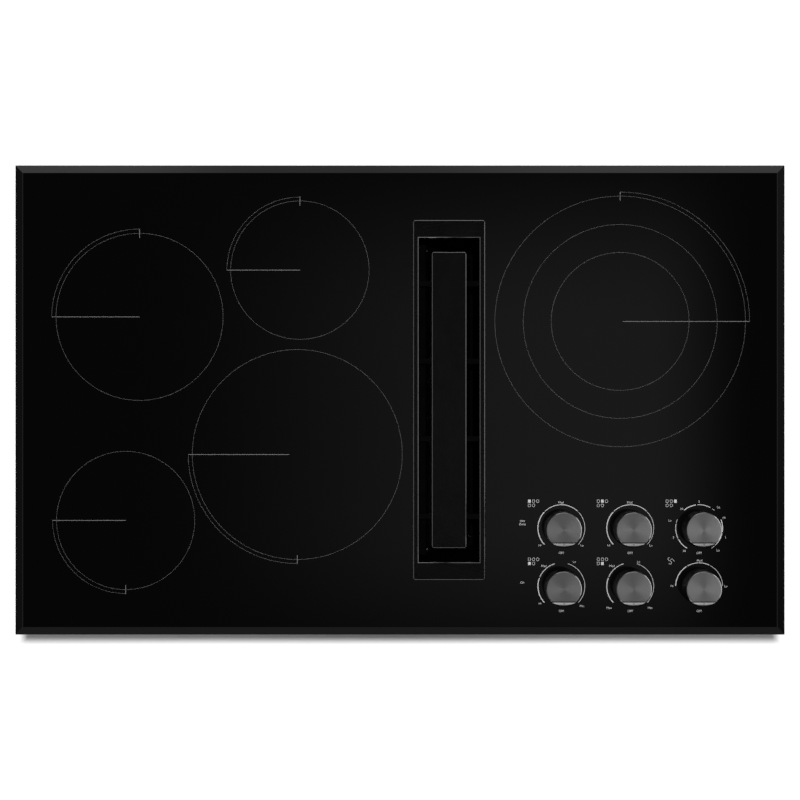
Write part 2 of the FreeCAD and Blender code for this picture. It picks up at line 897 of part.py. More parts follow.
def outlet_transition():
    """A box that flares from the scroll's mouth to a plate with the round collar.

    It is made along +Y and then turned to the left.
    """
    gauge = s.sheet_gauge
    mouth = (-scroll_front - gauge, -s.blower_wall), (-scroll_bottom - gauge, outlet_top + gauge)
    centre = [(low + high) / 2 for low, high in mouth]
    half = s.collar_radius + s.outlet_margin
    end = [(value - half, value + half) for value in centre]
    plate = s.outlet_reach + s.outlet_length
    collar_end = plate + gauge + s.collar_length
    x, z = centre

    def shrunk(sides):
        return [(low + gauge, high - gauge) for low, high in sides]

    shell = fuse(
        flare((s.outlet_reach, plate), mouth, end),
        block(end[0], (plate, plate + gauge), end[1]),
        drum(s.collar_radius, (plate, collar_end), x, z),
    )
    bore = drum(s.collar_radius - gauge, (plate - s.cut_overrun, collar_end + s.cut_overrun), x, z)
    inside = flare((s.outlet_reach, plate), shrunk(mouth), shrunk(end))
    outlet = cut(shell, inside, bore)
    outlet.Placement = Placement(Vector(), Rotation(Vector(0, 0, 1), 90))
    node(at_blower(outlet), "outlet_transition")


# Burner box


def burner_box():
    piece = Piece("burner_box")
    gauge = s.sheet_gauge
    width, depth = middle(box_width), middle(box_depth)
    piece.pad(piece.rectangle(width, depth, box_bottom), s.box_drop)
    flange = piece.ring(box_width, box_depth, s.box_flange, glass_bottom - gauge)
    piece.pad(flange, gauge)
    inside = middle(box_width - 2 * gauge), middle(box_depth - 2 * gauge)
    piece.pocket(piece.rectangle(*inside, glass_bottom), s.box_drop - gauge)
    hole = [vent_x + end for end in middle(chamber_width + 2 * s.box_chamber_gap)]
    length = middle(chamber_length + 2 * s.box_chamber_gap)
    piece.pocket(piece.rectangle(hole, length, box_floor), gauge + s.cut_overrun)
    row_x, row_y = field_place(right_field, slot_row_shares)
    x = [row_x - s.slot_spacing * (SLOTS - 1) / 2 + end for end in middle(s.slot_width)]
    y = [row_y + end for end in middle(s.slot_length)]
    slot = piece.pocket(piece.rectangle(x, y, box_floor), gauge + s.cut_overrun)
    piece.repeat(slot, "X_Axis", SLOTS, s.slot_spacing * (SLOTS - 1))
    piece.finish()


# Radiant elements


def turned(piece, zone):
    """Turn a piece to the side where its zone's limiter comes out, and put it in its zone."""
    piece.Placement = Placement(Vector(), Rotation(Vector(0, 0, 1), LIMITER_ANGLES[zone]))
    return place(piece, *zone_place(zone))


def dish(zone):
    """A round dish of moulded insulation, whose raised rim bears on the glass.

    Its recess has straight sides that follow the ribbon, and a notch for the limiter's rod.
    """
    radius = zone_radius(zone) + s.dish_border
    base_top = glass_bottom - s.base_drop
    above = glass_bottom + s.cut_overrun
    inside = prism(RIBBON_SIDES, radius - s.rim_insulation, (base_top, above))
    low = glass_bottom - s.limiter_drop - s.limiter_radius
    notch = block(
        (radius - s.rim_insulation - s.cut_overrun, radius + s.cut_overrun),
        middle(s.limiter_notch),
        (low, above),
    )
    return turned(cut(post(radius, (dish_bottom, glass_bottom)), inside, notch), zone)


def ribbon(zone):
    """Loops of heating ribbon on edge, straight from pin to pin, open at the terminal side."""
    base_top = glass_bottom - s.base_drop
    height = base_top, base_top + s.ribbon_height
    above = base_top - s.cut_overrun, base_top + s.ribbon_height + s.cut_overrun
    loops = []
    for share in ribbon_shares[zone]:
        radius = zone_radius(zone) * share
        inner = prism(RIBBON_SIDES, radius - s.ribbon_thickness, above)
        loops.append(cut(prism(RIBBON_SIDES, radius, height), inner))
    gate = block((0, zone_radius(zone)), middle(s.ribbon_break), above)
    node(turned(cut(group(loops), gate), zone), f"ribbon_{zone}")


def limiter(zone):
    """A thin rod across the zone, and its switch head outside the dish."""
    radius = zone_radius(zone) + s.dish_border
    axis = glass_bottom - s.limiter_drop
    length = radius + zone_radius(zone) * limiter_reach_share
    rod = prism(HEX_SIDES, s.limiter_radius, (axis, axis + length))
    rod.Placement = Placement(Vector(), Rotation(Vector(0, 1, 0), 90))
    place(rod, radius - length, 0, axis)
    top = axis + s.limiter_radius
    head = block(
        (radius, radius + s.limiter_head_length),
        middle(s.limiter_head_width),
        (top - s.limiter_head_height, top),
    )
    return turned(fuse(rod, head), zone)


def elements():
    node(group(dish(zone) for zone in LIMITER_ANGLES), "element_dishes")
    for zone in LIMITER_ANGLES:
        ribbon(zone)
    node(group(limiter(zone) for zone in LIMITER_ANGLES), "heat_limiters")


RAILS = (("rear_left", "front_left"), ("rear_centre", "front_centre"), ("right",))


def rail_place(zones):
    """A rail runs midway between the centres of the zones that it carries."""
    return sum((zone_place(zone)[0] for zone in zones[1:]), zone_place(zones[0])[0]) / len(zones)


def support_rails():
    """Channels that stand on the burner box's floor with their open side down."""
    rails = []
    back = box_depth / 2 - s.sheet_gauge - s.rail_end_gap
    for zones in RAILS:
        x = rail_place(zones)
        front = zone_place("right")[1] - zone_radius("right") if zones == ("right",) else -back
        width = [x + end for end in middle(s.rail_width)]
        inside = [x + end for end in middle(s.rail_width - 2 * s.sheet_gauge)]
        outer = block(width, (front, back), (box_floor, rail_top))
        below = box_floor - s.cut_overrun, rail_top - s.sheet_gauge
        inner = block(inside, (front - s.cut_overrun, back + s.cut_overrun), below)
        rails.append(cut(outer, inner))
    node(group(rails), "support_rails")


def element_springs():
    """Leaf springs, two to an element, from the rail up to the dish."""
    springs = []
    for zones in RAILS:
        x = rail_place(zones)
        for zone in zones:
            for side in (-1, 1):
                y = zone_place(zone)[1] + side * zone_radius(zone) * spring_place_share
                springs.append(leaf_spring(x, y))
    node(group(springs), "element_springs")


def leaf_spring(x, y):
    piece = Piece("Leaf")
    place(piece.body, x, y, rail_top)
    end, bend = s.spring_length / 2, s.spring_length * spring_slope_share / 2
    top, thick = s.spring_height, s.spring_thickness
    side = [
        (-end, 0),
        (-bend, 0),
        (bend, top - thick),
        (end, top - thick),
        (end, top),
        (bend, top),
        (-bend, thick),
        (-end, thick),
    ]
    piece.pad(outline(piece.sketch("YZ_Plane"), side), s.spring_width, both=True)
    return piece.body


# Dials, their spindles and switches


def knob(dial):
    """A round knob with a bevel on its top as a pointer, and a square bore."""
    piece = Piece(f"knob_{dial}")
    place(piece.body, *dial_place(dial), knob_base)
    high, radius = s.knob_height, s.knob_radius
    piece.pad(circle(piece.sketch(), radius), high)
    chord = radius * pointer_chord_share
    slope = s.knob_bevel_drop / (radius - chord)
    far = radius + s.cut_overrun
    wedge = [(-chord, high), (-far, high), (-far, high - slope * (far - chord))]
    piece.pocket(outline(piece.sketch("YZ_Plane"), wedge), 2 * far, both=True)
    side = middle(s.spindle_width + 2 * s.spindle_fit)
    piece.pocket(piece.rectangle(side, side), s.knob_bore_depth, reverse=True)
    piece.finish()


def spindle(dial):
    """A square bar from the rotor up into the knob."""
    piece = Piece(f"spindle_{dial}")
    place(piece.body, *dial_place(dial))
    side = middle(s.spindle_width)
    top = knob_base + s.knob_bore_depth - s.seat_gap
    piece.pad(piece.rectangle(side, side, spindle_bottom), top - spindle_bottom)
    piece.finish()


def rotor(dial):
    """The cam disc in a switch, which the spindle drives and slides in."""
    disc = prism(ROTOR_SIDES, s.rotor_radius, (rotor_bottom, rotor_top))
    side = middle(s.spindle_width + 2 * s.spindle_fit)
    hole = block(side, side, (rotor_bottom - s.cut_overrun, rotor_top + s.cut_overrun))
    node(place(cut(disc, hole), *dial_place(dial)), f"rotor_{dial}")


def switch(dial, height):
    """A moulded switch body, open to the bracket, with a well under its rotor and tabs below."""
    low = switch_top - height
    cavity = middle(2 * (s.rotor_radius + s.seat_gap))
    well = middle(s.spindle_width * math.sqrt(2) + 2 * s.seat_gap)
    well_bottom = spindle_bottom - s.push_travel - s.seat_gap
    above = switch_top + s.cut_overrun
    moulding = cut(
        block(middle(s.switch_width), middle(s.switch_depth), (low, switch_top)),
        block(cavity, cavity, (rotor_bottom - s.seat_gap, above)),
        block(well, well, (well_bottom, above)),
    )
    tabs = []
    for side in (-1, 1):
        tab_x = [side * s.switch_width * tab_place_share + end for end in middle(s.tab_thickness)]
        tabs.append(block(tab_x, middle(s.tab_width), (low - s.tab_length, low)))
    return place(fuse(moulding, *tabs), *dial_place(dial))


def dials():
    for dial in range(1, 7):
        knob(dial)
        spindle(dial)
        rotor(dial)
    node(group(switch(dial, s.switch_height) for dial in (1, 2, 4, 5)), "infinite_switches")
    node(switch(3, s.triple_switch_height), "triple_zone_switch")
    node(switch(6, s.fan_control_height), "fan_speed_control")


def switch_bracket():
    """A channel across the dials, with a window over each switch."""
    piece = Piece("switch_bracket")
    first, last = dial_place(1), dial_place(6)
    x = lamp_x - s.lamp_width / 2 - s.lamp_margin, last[0] + s.bracket_side
    y = s.sheet_gauge + s.bracket_box_gap - box_depth / 2, first[1] + s.bracket_end
    gauge = s.bracket_gauge
    piece.pad(piece.rectangle(x, y, switch_top), gauge)
    for leg in ((x[0], x[0] + gauge), (x[1] - gauge, x[1])):
        piece.pad(piece.rectangle(leg, y, box_floor), switch_top - box_floor)
    windows = piece.sketch(lift=bracket_top)
    for dial in range(1, 7):
        centre = dial_place(dial)
        rectangle(windows, *[[value + end for end in middle(s.window_width)] for value in centre])
    piece.pocket(windows, gauge + s.cut_overrun)
    piece.finish()


def indicator_lamps():
    """Light pipes that stand on the bracket and end at the glass."""
    x = [lamp_x + end for end in middle(s.lamp_width)]
    pipes = []
    for dial in (1, 4):
        y = [dial_place(dial)[1] + end for end in middle(s.lamp_depth)]
        pipes.append(block(x, y, (bracket_top, glass_bottom)))
    node(group(pipes), "indicator_lamps")


# Wiring entry and hold-downs


def terminal_box():
    gauge = s.sheet_gauge
    centre_x, centre_y = field_place(right_field, terminal_shares)
    x = [centre_x + end for end in middle(s.terminal_width)]
    y = [centre_y + end for end in middle(s.terminal_depth)]
    bottom = box_bottom - s.terminal_height
    shell = block(x, y, (bottom, box_bottom))
    inside = block(
        (x[0] + gauge, x[1] - gauge),
        (y[0] + gauge, y[1] - gauge),
        (bottom + gauge, box_bottom + s.cut_overrun),
    )
    knockout = drum(
        s.knockout_radius,
        (y[1] - gauge - s.cut_overrun, y[1] + s.cut_overrun),
        centre_x,
        bottom + s.terminal_height / 2,
    )
    node(cut(shell, inside, knockout), "terminal_box")
    strip = block(
        [centre_x + end for end in middle(s.block_length)],
        (y[0] + gauge, y[0] + gauge + s.block_width),
        (bottom + gauge, bottom + gauge + s.block_height),
    )
    node(strip, "terminal_block")


def hold_down_brackets():
    """Angle brackets on the burner box's sides, slotted for the screws that clamp the countertop."""
    brackets = []
    arm_top = -s.counter_thickness - s.clamp_drop
    under = arm_top - s.clamp_gauge
    wall = box_width / 2
    tip = wall + s.clamp_reach
    for side in (-1, 1):
        spans = [
            (wall, wall + s.clamp_gauge),
            (wall, tip),
            (tip - s.clamp_slot_length, tip + s.cut_overrun),
        ]
        if side < 0:
            spans = [(-high, -low) for low, high in spans]
        upright = block(spans[0], middle(s.clamp_width), (under, arm_top + s.clamp_rise))
        arm = block(spans[1], middle(s.clamp_width), (under, arm_top))
        slot = block(spans[2], middle(s.clamp_slot), (under - s.cut_overrun, arm_top + s.cut_overrun))
        brackets.append(cut(fuse(upright, arm), slot))
    node(group(brackets), "hold_down_brackets")


glass_panel()
seal_tape()
grille_frame()
grille_panel()
grease_filter()
vent_chamber()
plenum()
volute_housing()
blower_cover()
blower_wheel()
motor_and_shaft()
outlet_transition()
burner_box()
elements()
support_rails()
element_springs()
dials()
switch_bracket()
indicator_lamps()
terminal_box()
hold_down_brackets()

doc.recompute()

# Nothing is written unless every object is sound and every pocket has cut
faults = []
for item in doc.Objects:
    owner = item.getParentGeoFeatureGroup()
    name = f"{owner.Label if owner else item.Label}: {item.Name}"
    if "Invalid" in item.State or "Error" in item.State:
        faults.append(f"{name} is {item.State}")
    elif item.TypeId == "PartDesign::Pocket" and item.Shape.Volume >= item.BaseFeature.Shape.Volume:
        faults.append(f"{name} cut nothing")
    elif item.TypeId == "Sketcher::SketchObject" and item.solve() != 0:
        faults.append(f"{name} doesn't solve")
for piece in nodes:
    if piece.Shape.isNull() or not piece.Shape.isValid() or not piece.Shape.Solids:
        faults.append(f"{piece.Label} has no sound shape")
if faults:
    raise RuntimeError("; ".join(faults))

os.makedirs("parts", exist_ok=True)
for piece in nodes:
    piece.Shape.exportStep(os.path.join("parts", f"{piece.Label}.step"))
print(f"{len(nodes)} nodes, {sum(len(piece.Shape.Solids) for piece in nodes)} solids")
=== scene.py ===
import math

import bmesh
import bpy
from mathutils import Matrix, Vector


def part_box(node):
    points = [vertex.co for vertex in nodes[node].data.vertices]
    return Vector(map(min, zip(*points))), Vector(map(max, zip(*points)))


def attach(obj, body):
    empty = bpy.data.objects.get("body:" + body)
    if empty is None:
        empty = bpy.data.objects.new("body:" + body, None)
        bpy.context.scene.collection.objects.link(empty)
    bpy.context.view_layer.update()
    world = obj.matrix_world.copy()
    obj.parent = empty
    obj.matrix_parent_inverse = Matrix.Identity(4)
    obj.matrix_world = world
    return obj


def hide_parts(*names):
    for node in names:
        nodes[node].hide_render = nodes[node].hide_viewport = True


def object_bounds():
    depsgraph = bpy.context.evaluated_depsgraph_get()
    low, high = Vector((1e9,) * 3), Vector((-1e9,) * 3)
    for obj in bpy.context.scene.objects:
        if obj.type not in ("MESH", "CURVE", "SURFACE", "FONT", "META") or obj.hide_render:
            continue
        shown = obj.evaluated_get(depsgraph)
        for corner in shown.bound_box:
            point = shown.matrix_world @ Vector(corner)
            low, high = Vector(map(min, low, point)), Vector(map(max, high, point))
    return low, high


# Looks of the downdraft cooktop. Lengths are in metres, in the frame of the solids:
# the origin is the middle of the glass outline at the countertop's face, +Z up.
# Values that are given in millimetres say so, or are multiplied by MM.

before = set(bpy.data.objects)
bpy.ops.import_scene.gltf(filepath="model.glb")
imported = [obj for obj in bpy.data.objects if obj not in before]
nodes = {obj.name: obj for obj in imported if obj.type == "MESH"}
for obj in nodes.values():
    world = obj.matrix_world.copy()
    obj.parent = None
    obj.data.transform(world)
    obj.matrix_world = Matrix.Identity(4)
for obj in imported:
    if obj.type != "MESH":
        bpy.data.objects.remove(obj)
cad_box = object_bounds()

MM = 0.001
GLASS_TOP = 5.5 * MM
VENT_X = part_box("grille_panel")[0].x / 2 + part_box("grille_panel")[1].x / 2
FLOOR_Z = cad_box[0].z
CHAMBER_HALF_WIDTH = 39.85 * MM
CHAMBER_HALF_LENGTH = 195.75 * MM
BLOWER_Z = -368.0 * MM
DIALS = {}
for dial in range(1, 7):
    low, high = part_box(f"rotor_{dial}")
    DIALS[dial] = ((low.x + high.x) / 2, (low.y + high.y) / 2)


# Materials


def add(tree, kind, inputs=(), **settings):
    """A node with its settings, and with plain values or sockets on its inputs."""
    made = tree.nodes.new("ShaderNode" + kind)
    for name, value in settings.items():
        setattr(made, name, value)
    for key, value in dict(inputs).items():
        if isinstance(value, bpy.types.NodeSocket):
            tree.links.new(value, made.inputs[key])
        else:
            made.inputs[key].default_value = value
    return made


def paint(name, colour, roughness, metallic=0.0, **sockets):
    """A material with one Principled shader."""
    made = bpy.data.materials.new(name)
    made.use_nodes = True
    tree = made.node_tree
    shader = tree.nodes["Principled BSDF"]
    shader.inputs["Base Color"].default_value = (*colour, 1)
    shader.inputs["Roughness"].default_value = roughness
    shader.inputs["Metallic"].default_value = metallic
    for key, value in sockets.items():
        shader.inputs[key.replace("_", " ")].default_value = value
    return made, tree, shader


def place_of(tree, stretch=(1, 1, 1)):
    """The piece's own coordinates in metres, stretched along each axis."""
    where = add(tree, "TexCoord").outputs["Object"]
    return add(tree, "Mapping", {"Vector": where, "Scale": stretch}).outputs["Vector"]


def noise(tree, scale, detail=2.0, stretch=(1, 1, 1), distortion=0.0):
    """A cloudy pattern's value, about 0.3 to 0.7."""
    inputs = {"Vector": place_of(tree, stretch), "Scale": scale, "Detail": detail, "Distortion": distortion}
    return add(tree, "TexNoise", inputs).outputs["Fac"]


def spread(tree, value, low, high, start=0.3, end=0.7):
    """A pattern's value, spread from low to high."""
    inputs = {"Value": value, "From Min": start, "From Max": end, "To Min": low, "To Max": high}
    return add(tree, "MapRange", inputs).outputs["Result"]


def shade(tree, value, dark, light):
    """A colour between two, by a pattern's value."""
    made = add(tree, "Mix", {0: value}, data_type="RGBA")
    made.inputs[6].default_value = (*dark, 1)
    made.inputs[7].default_value = (*light, 1)
    return made.outputs[2]


def bump(tree, shader, height, depth, strength=1.0):
    """A fine relief from a pattern, its depth in metres."""
    inputs = {"Height": height, "Distance": depth, "Strength": strength}
    relief = add(tree, "Bump", inputs)
    tree.links.new(relief.outputs["Normal"], shader.inputs["Normal"])


def mottled(name, dark, light, scale, roughness, grain=0.0, metallic=0.0, stretch=(1, 1, 1), **sockets):
    """A finish whose colour and gloss vary a little, with a grain of a size in metres."""
    made, tree, shader = paint(name, light, roughness[0], metallic, **sockets)
    cloud = noise(tree, scale, 4.0, stretch)
    tree.links.new(shade(tree, spread(tree, cloud, 0, 1), dark, light), shader.inputs["Base Color"])
    gloss = noise(tree, scale * 3, 3.0, stretch)
    tree.links.new(spread(tree, gloss, *roughness), shader.inputs["Roughness"])
    if grain:
        bump(tree, shader, noise(tree, 1 / grain, 2.0, stretch), grain / 6)
    return made


def black_glass():
    """Polished black glass, its gloss dulled a little in long smears."""
    made, tree, shader = paint("black_glass", (0.0008, 0.0008, 0.0009), 0.03, IOR=1.5)
    smear = noise(tree, 9, 5.0, (1, 2.2, 1), 0.6)
    tree.links.new(spread(tree, smear, 0.022, 0.06, 0.35, 0.75), shader.inputs["Roughness"])
    return made


def noise_vector(tree, scale, size):
    """A vector that wanders a little from place to place."""
    where = add(tree, "TexNoise", {"Vector": place_of(tree), "Scale": scale, "Detail": 2.0}).outputs["Color"]
    return add(tree, "VectorMath", {0: where, "Scale": size}, operation="SCALE").outputs[0]


def galvanised():
    """Zinc-coated sheet with its crystals."""
    made, tree, shader = paint("galvanised_sheet", (0.5, 0.51, 0.52), 0.4, 1.0)
    bent = add(tree, "VectorMath", {0: place_of(tree), 1: noise_vector(tree, 60, 0.006)}, operation="ADD")
    cells = add(tree, "TexVoronoi", {"Vector": bent.outputs[0], "Scale": 110})
    tone = spread(tree, add(tree, "SeparateColor", {0: cells.outputs["Color"]}).outputs[0], 0, 1, 0, 1)
    stain = spread(tree, noise(tree, 14, 5.0), 0, 1, 0.35, 0.65)
    mixed = add(tree, "Math", {0: tone, 1: 0.5}, operation="MULTIPLY").outputs[0]
    mixed = add(tree, "Math", {0: stain, 1: 0.5, 2: mixed}, operation="MULTIPLY_ADD").outputs[0]
    tree.links.new(shade(tree, mixed, (0.4, 0.41, 0.42), (0.55, 0.56, 0.57)), shader.inputs["Base Color"])
    tree.links.new(spread(tree, tone, 0.38, 0.46, 0, 1), shader.inputs["Roughness"])
    bump(tree, shader, noise(tree, 700), 0.0001, 0.3)
    return made


def brushed(name, dark, light, roughness, stretch):
    """Drawn metal, its grain stretched along one axis."""
    return mottled(name, dark, light, 60, roughness, 0.0012, 1.0, stretch)


def chamber_steel():
    """Galvanised outside; inside the vent's passage flat black, partly enamel and partly painted shade that
    keeps the deep passage dark.
    """
    made = galvanised()
    made.name = "chamber_sheet"
    tree = made.node_tree
    shader = tree.nodes["Principled BSDF"]
    shader.inputs["Specular IOR Level"].default_value = 0.04
    axes = add(tree, "SeparateXYZ", {0: add(tree, "TexCoord").outputs["Object"]}).outputs
    from_middle = add(tree, "Math", {0: axes[0], 1: VENT_X}, operation="SUBTRACT").outputs[0]
    sides = [(from_middle, CHAMBER_HALF_WIDTH), (axes[1], CHAMBER_HALF_LENGTH)]
    within = []
    for value, half in sides:
        size = add(tree, "Math", {0: value}, operation="ABSOLUTE").outputs[0]
        within.append(add(tree, "Math", {0: size, 1: half}, operation="LESS_THAN").outputs[0])
    inside = add(tree, "Math", {0: within[0], 1: within[1]}, operation="MULTIPLY").outputs[0]
    plain = shader.inputs["Base Color"].links[0].from_socket
    colour = add(tree, "Mix", {0: inside, 6: plain}, data_type="RGBA")
    colour.inputs[7].default_value = (0.0008, 0.0008, 0.0008, 1)  # the black inside: partly enamel, partly painted shade
    tree.links.new(colour.outputs[2], shader.inputs["Base Color"])
    rough = shader.inputs["Roughness"].links[0].from_socket
    dull = add(tree, "Mix", {0: inside, 2: rough, 3: 0.7}).outputs[0]
    tree.links.new(dull, shader.inputs["Roughness"])
    metal = add(tree, "Math", {0: 1.0, 1: inside}, operation="SUBTRACT").outputs[0]
    tree.links.new(metal, shader.inputs["Metallic"])
    return made


def mesh_weave():
    """Layered filter mesh: two crossing families of fine wires, painted dark grey as shade down the vent,
    over near-black painted shade for the depth between them.
    """
    made, tree, shader = paint("filter_weave", (0.5, 0.5, 0.51), 0.35, 1.0)
    waves = []
    for turn in (35, -35):
        where = add(tree, "TexCoord").outputs["Object"]
        turned = add(tree, "Mapping", {"Vector": where, "Rotation": (math.radians(turn), 0, 0)})
        inputs = {"Vector": turned.outputs["Vector"], "Scale": 90, "Distortion": 1.2, "Detail": 1.0}
        waves.append(add(tree, "TexWave", inputs, bands_direction="Y").outputs["Fac"])
    crossing = add(tree, "Math", {0: waves[0], 1: waves[1]}, operation="MAXIMUM").outputs[0]
    lit = spread(tree, crossing, 0, 1, 0.55, 0.9)
    # Near-black between the wires is painted shade of the mesh's depth; the wires' dark grey is painted
    # shade too, darker than their bare metal
    tree.links.new(shade(tree, lit, (0.002, 0.002, 0.002), (0.12, 0.12, 0.123)), shader.inputs["Base Color"])
    bump(tree, shader, crossing, 0.0015)
    return made


def spun_metal():
    """The turned face of a dial, with fine rings round its axis."""
    round_shine = {"Anisotropic": 0.64, "Anisotropic_Rotation": 0.25}
    made, tree, shader = paint("spun_face", (0.45, 0.45, 0.455), 0.3, 1.0, **round_shine)
    where = add(tree, "TexCoord").outputs["Object"]
    axes = add(tree, "SeparateXYZ", {0: where}).outputs
    squares = [add(tree, "Math", {0: axes[i], 1: axes[i]}, operation="MULTIPLY").outputs[0] for i in (0, 1)]
    total = add(tree, "Math", {0: squares[0], 1: squares[1]}, operation="ADD").outputs[0]
    radius = add(tree, "Math", {0: total, 1: 0.5}, operation="POWER").outputs[0]
    ring = add(tree, "CombineXYZ", {0: radius}).outputs[0]
    grooves = add(tree, "TexNoise", {"Vector": ring, "Scale": 1800, "Detail": 3.0}).outputs["Fac"]
    tree.links.new(spread(tree, grooves, 0.27, 0.37), shader.inputs["Roughness"])
    tone = spread(tree, grooves, 0, 1)
    tree.links.new(shade(tree, tone, (0.49, 0.49, 0.494), (0.6, 0.6, 0.605)), shader.inputs["Base Color"])
    tangent = add(tree, "Tangent", direction_type="RADIAL", axis="Z")
    tree.links.new(tangent.outputs[0], shader.inputs["Tangent"])
    return made


def lamp_plastic():
    """The indicators' red light pipes, unlit."""
    made, tree, shader = paint("lamp_lens", (0.35, 0.05, 0.03), 0.25, Transmission_Weight=0.3)
    tree.links.new(spread(tree, noise(tree, 200), 0.2, 0.35), shader.inputs["Roughness"])
    return made


def grey(level):
    return (level, level, level)


# In each mottled look: two colours, the scale of their clouds, the roughness's range, the grain
# and the metallic share
LOOKS = {
    "glass": black_glass(),
    "ink": mottled("print_ink", (0.085, 0.085, 0.088), (0.12, 0.12, 0.123), 400, (0.5, 0.65)),
    "bold_ink": mottled("dial_ink", (0.24, 0.24, 0.244), (0.3, 0.3, 0.305), 400, (0.45, 0.6)),
    "enamel": mottled("gloss_enamel", grey(0.0004), grey(0.0009), 40, (0.1, 0.16), 0.0015),
    "edge": mottled(
        "enamel_edge", grey(0.0004), grey(0.0009), 40, (0.08, 0.14), 0.0, Specular_IOR_Level=1.0, IOR=1.8
    ),
    # Near-black matte: enamel on the grille frame's lower faces, and painted shade on the motor's air slots
    "void": mottled(
        "matte_enamel_and_slot_shade", grey(0.0005), grey(0.001), 40, (0.7, 0.85), 0.0015, Specular_IOR_Level=0.03
    ),
    "chamber": chamber_steel(),
    "case": mottled("case_enamel", (0.02, 0.02, 0.021), (0.035, 0.035, 0.036), 30, (0.32, 0.5), 0.0015),
    "zinc": galvanised(),
    "steel": brushed("drawn_steel", (0.42, 0.42, 0.43), (0.58, 0.58, 0.59), (0.25, 0.42), (1, 0.06, 1)),
    "screw": mottled("plated_screw", (0.5, 0.48, 0.44), (0.62, 0.6, 0.55), 300, (0.22, 0.35), 0.0, 1.0),
    # Near-black for the filter's aluminium frame and pull: painted shade down the vent, not their metal's
    # colour
    "filter_painted_shade": mottled(
        "filter_shade_black", grey(0.0006), grey(0.001), 60, (0.5, 0.65), 0.0008, Specular_IOR_Level=0.05
    ),
    "weave": mesh_weave(),
    "fibre": mottled("moulded_fibre", (0.55, 0.52, 0.45), (0.76, 0.73, 0.66), 90, (0.85, 0.98), 0.0018),
    "alloy": mottled("ribbon_alloy", (0.12, 0.1, 0.09), (0.26, 0.23, 0.2), 220, (0.4, 0.55), 0.0, 1.0),
    "foam": mottled("tape_foam", grey(0.012), grey(0.03), 700, (0.85, 0.95), 0.0008),
    "motor": mottled("motor_paint", (0.018, 0.019, 0.02), (0.032, 0.033, 0.035), 60, (0.38, 0.55), 0.001),
    "moulding": mottled("switch_moulding", (0.58, 0.56, 0.5), (0.7, 0.68, 0.62), 60, (0.4, 0.5), 0.0006),
    "rotor": mottled("rotor_moulding", (0.66, 0.65, 0.62), (0.78, 0.77, 0.74), 60, (0.35, 0.45), 0.0006),
    "block": mottled("block_moulding", (0.035, 0.022, 0.016), (0.06, 0.035, 0.024), 80, (0.35, 0.5), 0.0006),
    "wheel": mottled("wheel_sheet", (0.32, 0.33, 0.34), (0.5, 0.51, 0.52), 45, (0.3, 0.45), 0.001, 1.0),
    "lamp": lamp_plastic(),
    "spun": spun_metal(),
    "rim": mottled("turned_rim", (0.3, 0.3, 0.304), (0.36, 0.36, 0.364), 200, (0.1, 0.16), 0.0, 1.0),
    "stack": mottled(
        "core_plates", (0.2, 0.19, 0.18), (0.34, 0.33, 0.31), 40, (0.35, 0.5), 0.0009, 1.0, (0.05, 1, 0.05)
    ),
    # The loose wires' dark grey is painted shade down the vent, darker than their bare metal
    "wire": mottled("filter_wire", (0.12, 0.12, 0.123), (0.2, 0.2, 0.204), 150, (0.3, 0.42), 0.0, 1.0),
    "dial": mottled(
        "dial_moulding_and_groove_shade", grey(0.0015), grey(0.003), 120, (0.28, 0.4), 0.0005, Specular_IOR_Level=0.12
    ),
}


def finish_as(node, look):
    """One look for a solid that is kept as it is."""
    slots = nodes[node].data.materials
    slots.clear()
    slots.append(LOOKS[look])


PLAIN_NODES = {
    "seal_tape": "foam",
    "burner_box": "case",
    "vent_chamber": "chamber",
    "plenum": "zinc",
    "volute_housing": "zinc",
    "blower_cover": "zinc",
    "outlet_transition": "zinc",
    "blower_motor": "motor",
    "motor_shaft": "steel",
    "blower_wheel": "wheel",
    "terminal_box": "zinc",
    "terminal_block": "block",
    "hold_down_brackets": "zinc",
    "element_dishes": "fibre",
    "ribbon_rear_left": "alloy",
    "ribbon_rear_centre": "alloy",
    "ribbon_front_centre": "alloy",
    "ribbon_front_left": "alloy",
    "ribbon_right": "alloy",
    "heat_limiters": "steel",
    "element_springs": "steel",
    "support_rails": "zinc",
    "switch_bracket": "zinc",
    "indicator_lamps": "lamp",
    "infinite_switches": "moulding",
    "triple_zone_switch": "moulding",
    "fan_speed_control": "moulding",
    "filter_mesh": "weave",
}
for node, look in PLAIN_NODES.items():
    finish_as(node, look)
for dial in DIALS:
    finish_as(f"rotor_{dial}", "rotor")
    finish_as(f"spindle_{dial}", "steel")


# Shapes


def piece(name, bm, looks, body, at=(0, 0, 0), smooth=30):
    """A mesh object from a bmesh, placed and riding on its body."""
    mesh = bpy.data.meshes.new(name)
    bm.normal_update()
    bm.to_mesh(mesh)
    bm.free()
    for look in looks:
        mesh.materials.append(LOOKS[look])
    mesh.shade_smooth()
    mesh.set_sharp_from_angle(angle=math.radians(smooth))
    made = bpy.data.objects.new(name, mesh)
    bpy.context.scene.collection.objects.link(made)
    made.location = at
    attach(made, body)
    return made


def even_shading(made):
    """Flat faces stay flat, and only the narrow roundings between them are shaded smooth."""
    weighted = made.modifiers.new("even", "WEIGHTED_NORMAL")
    weighted.mode = "FACE_AREA"
    weighted.weight = 100
    weighted.keep_sharp = True


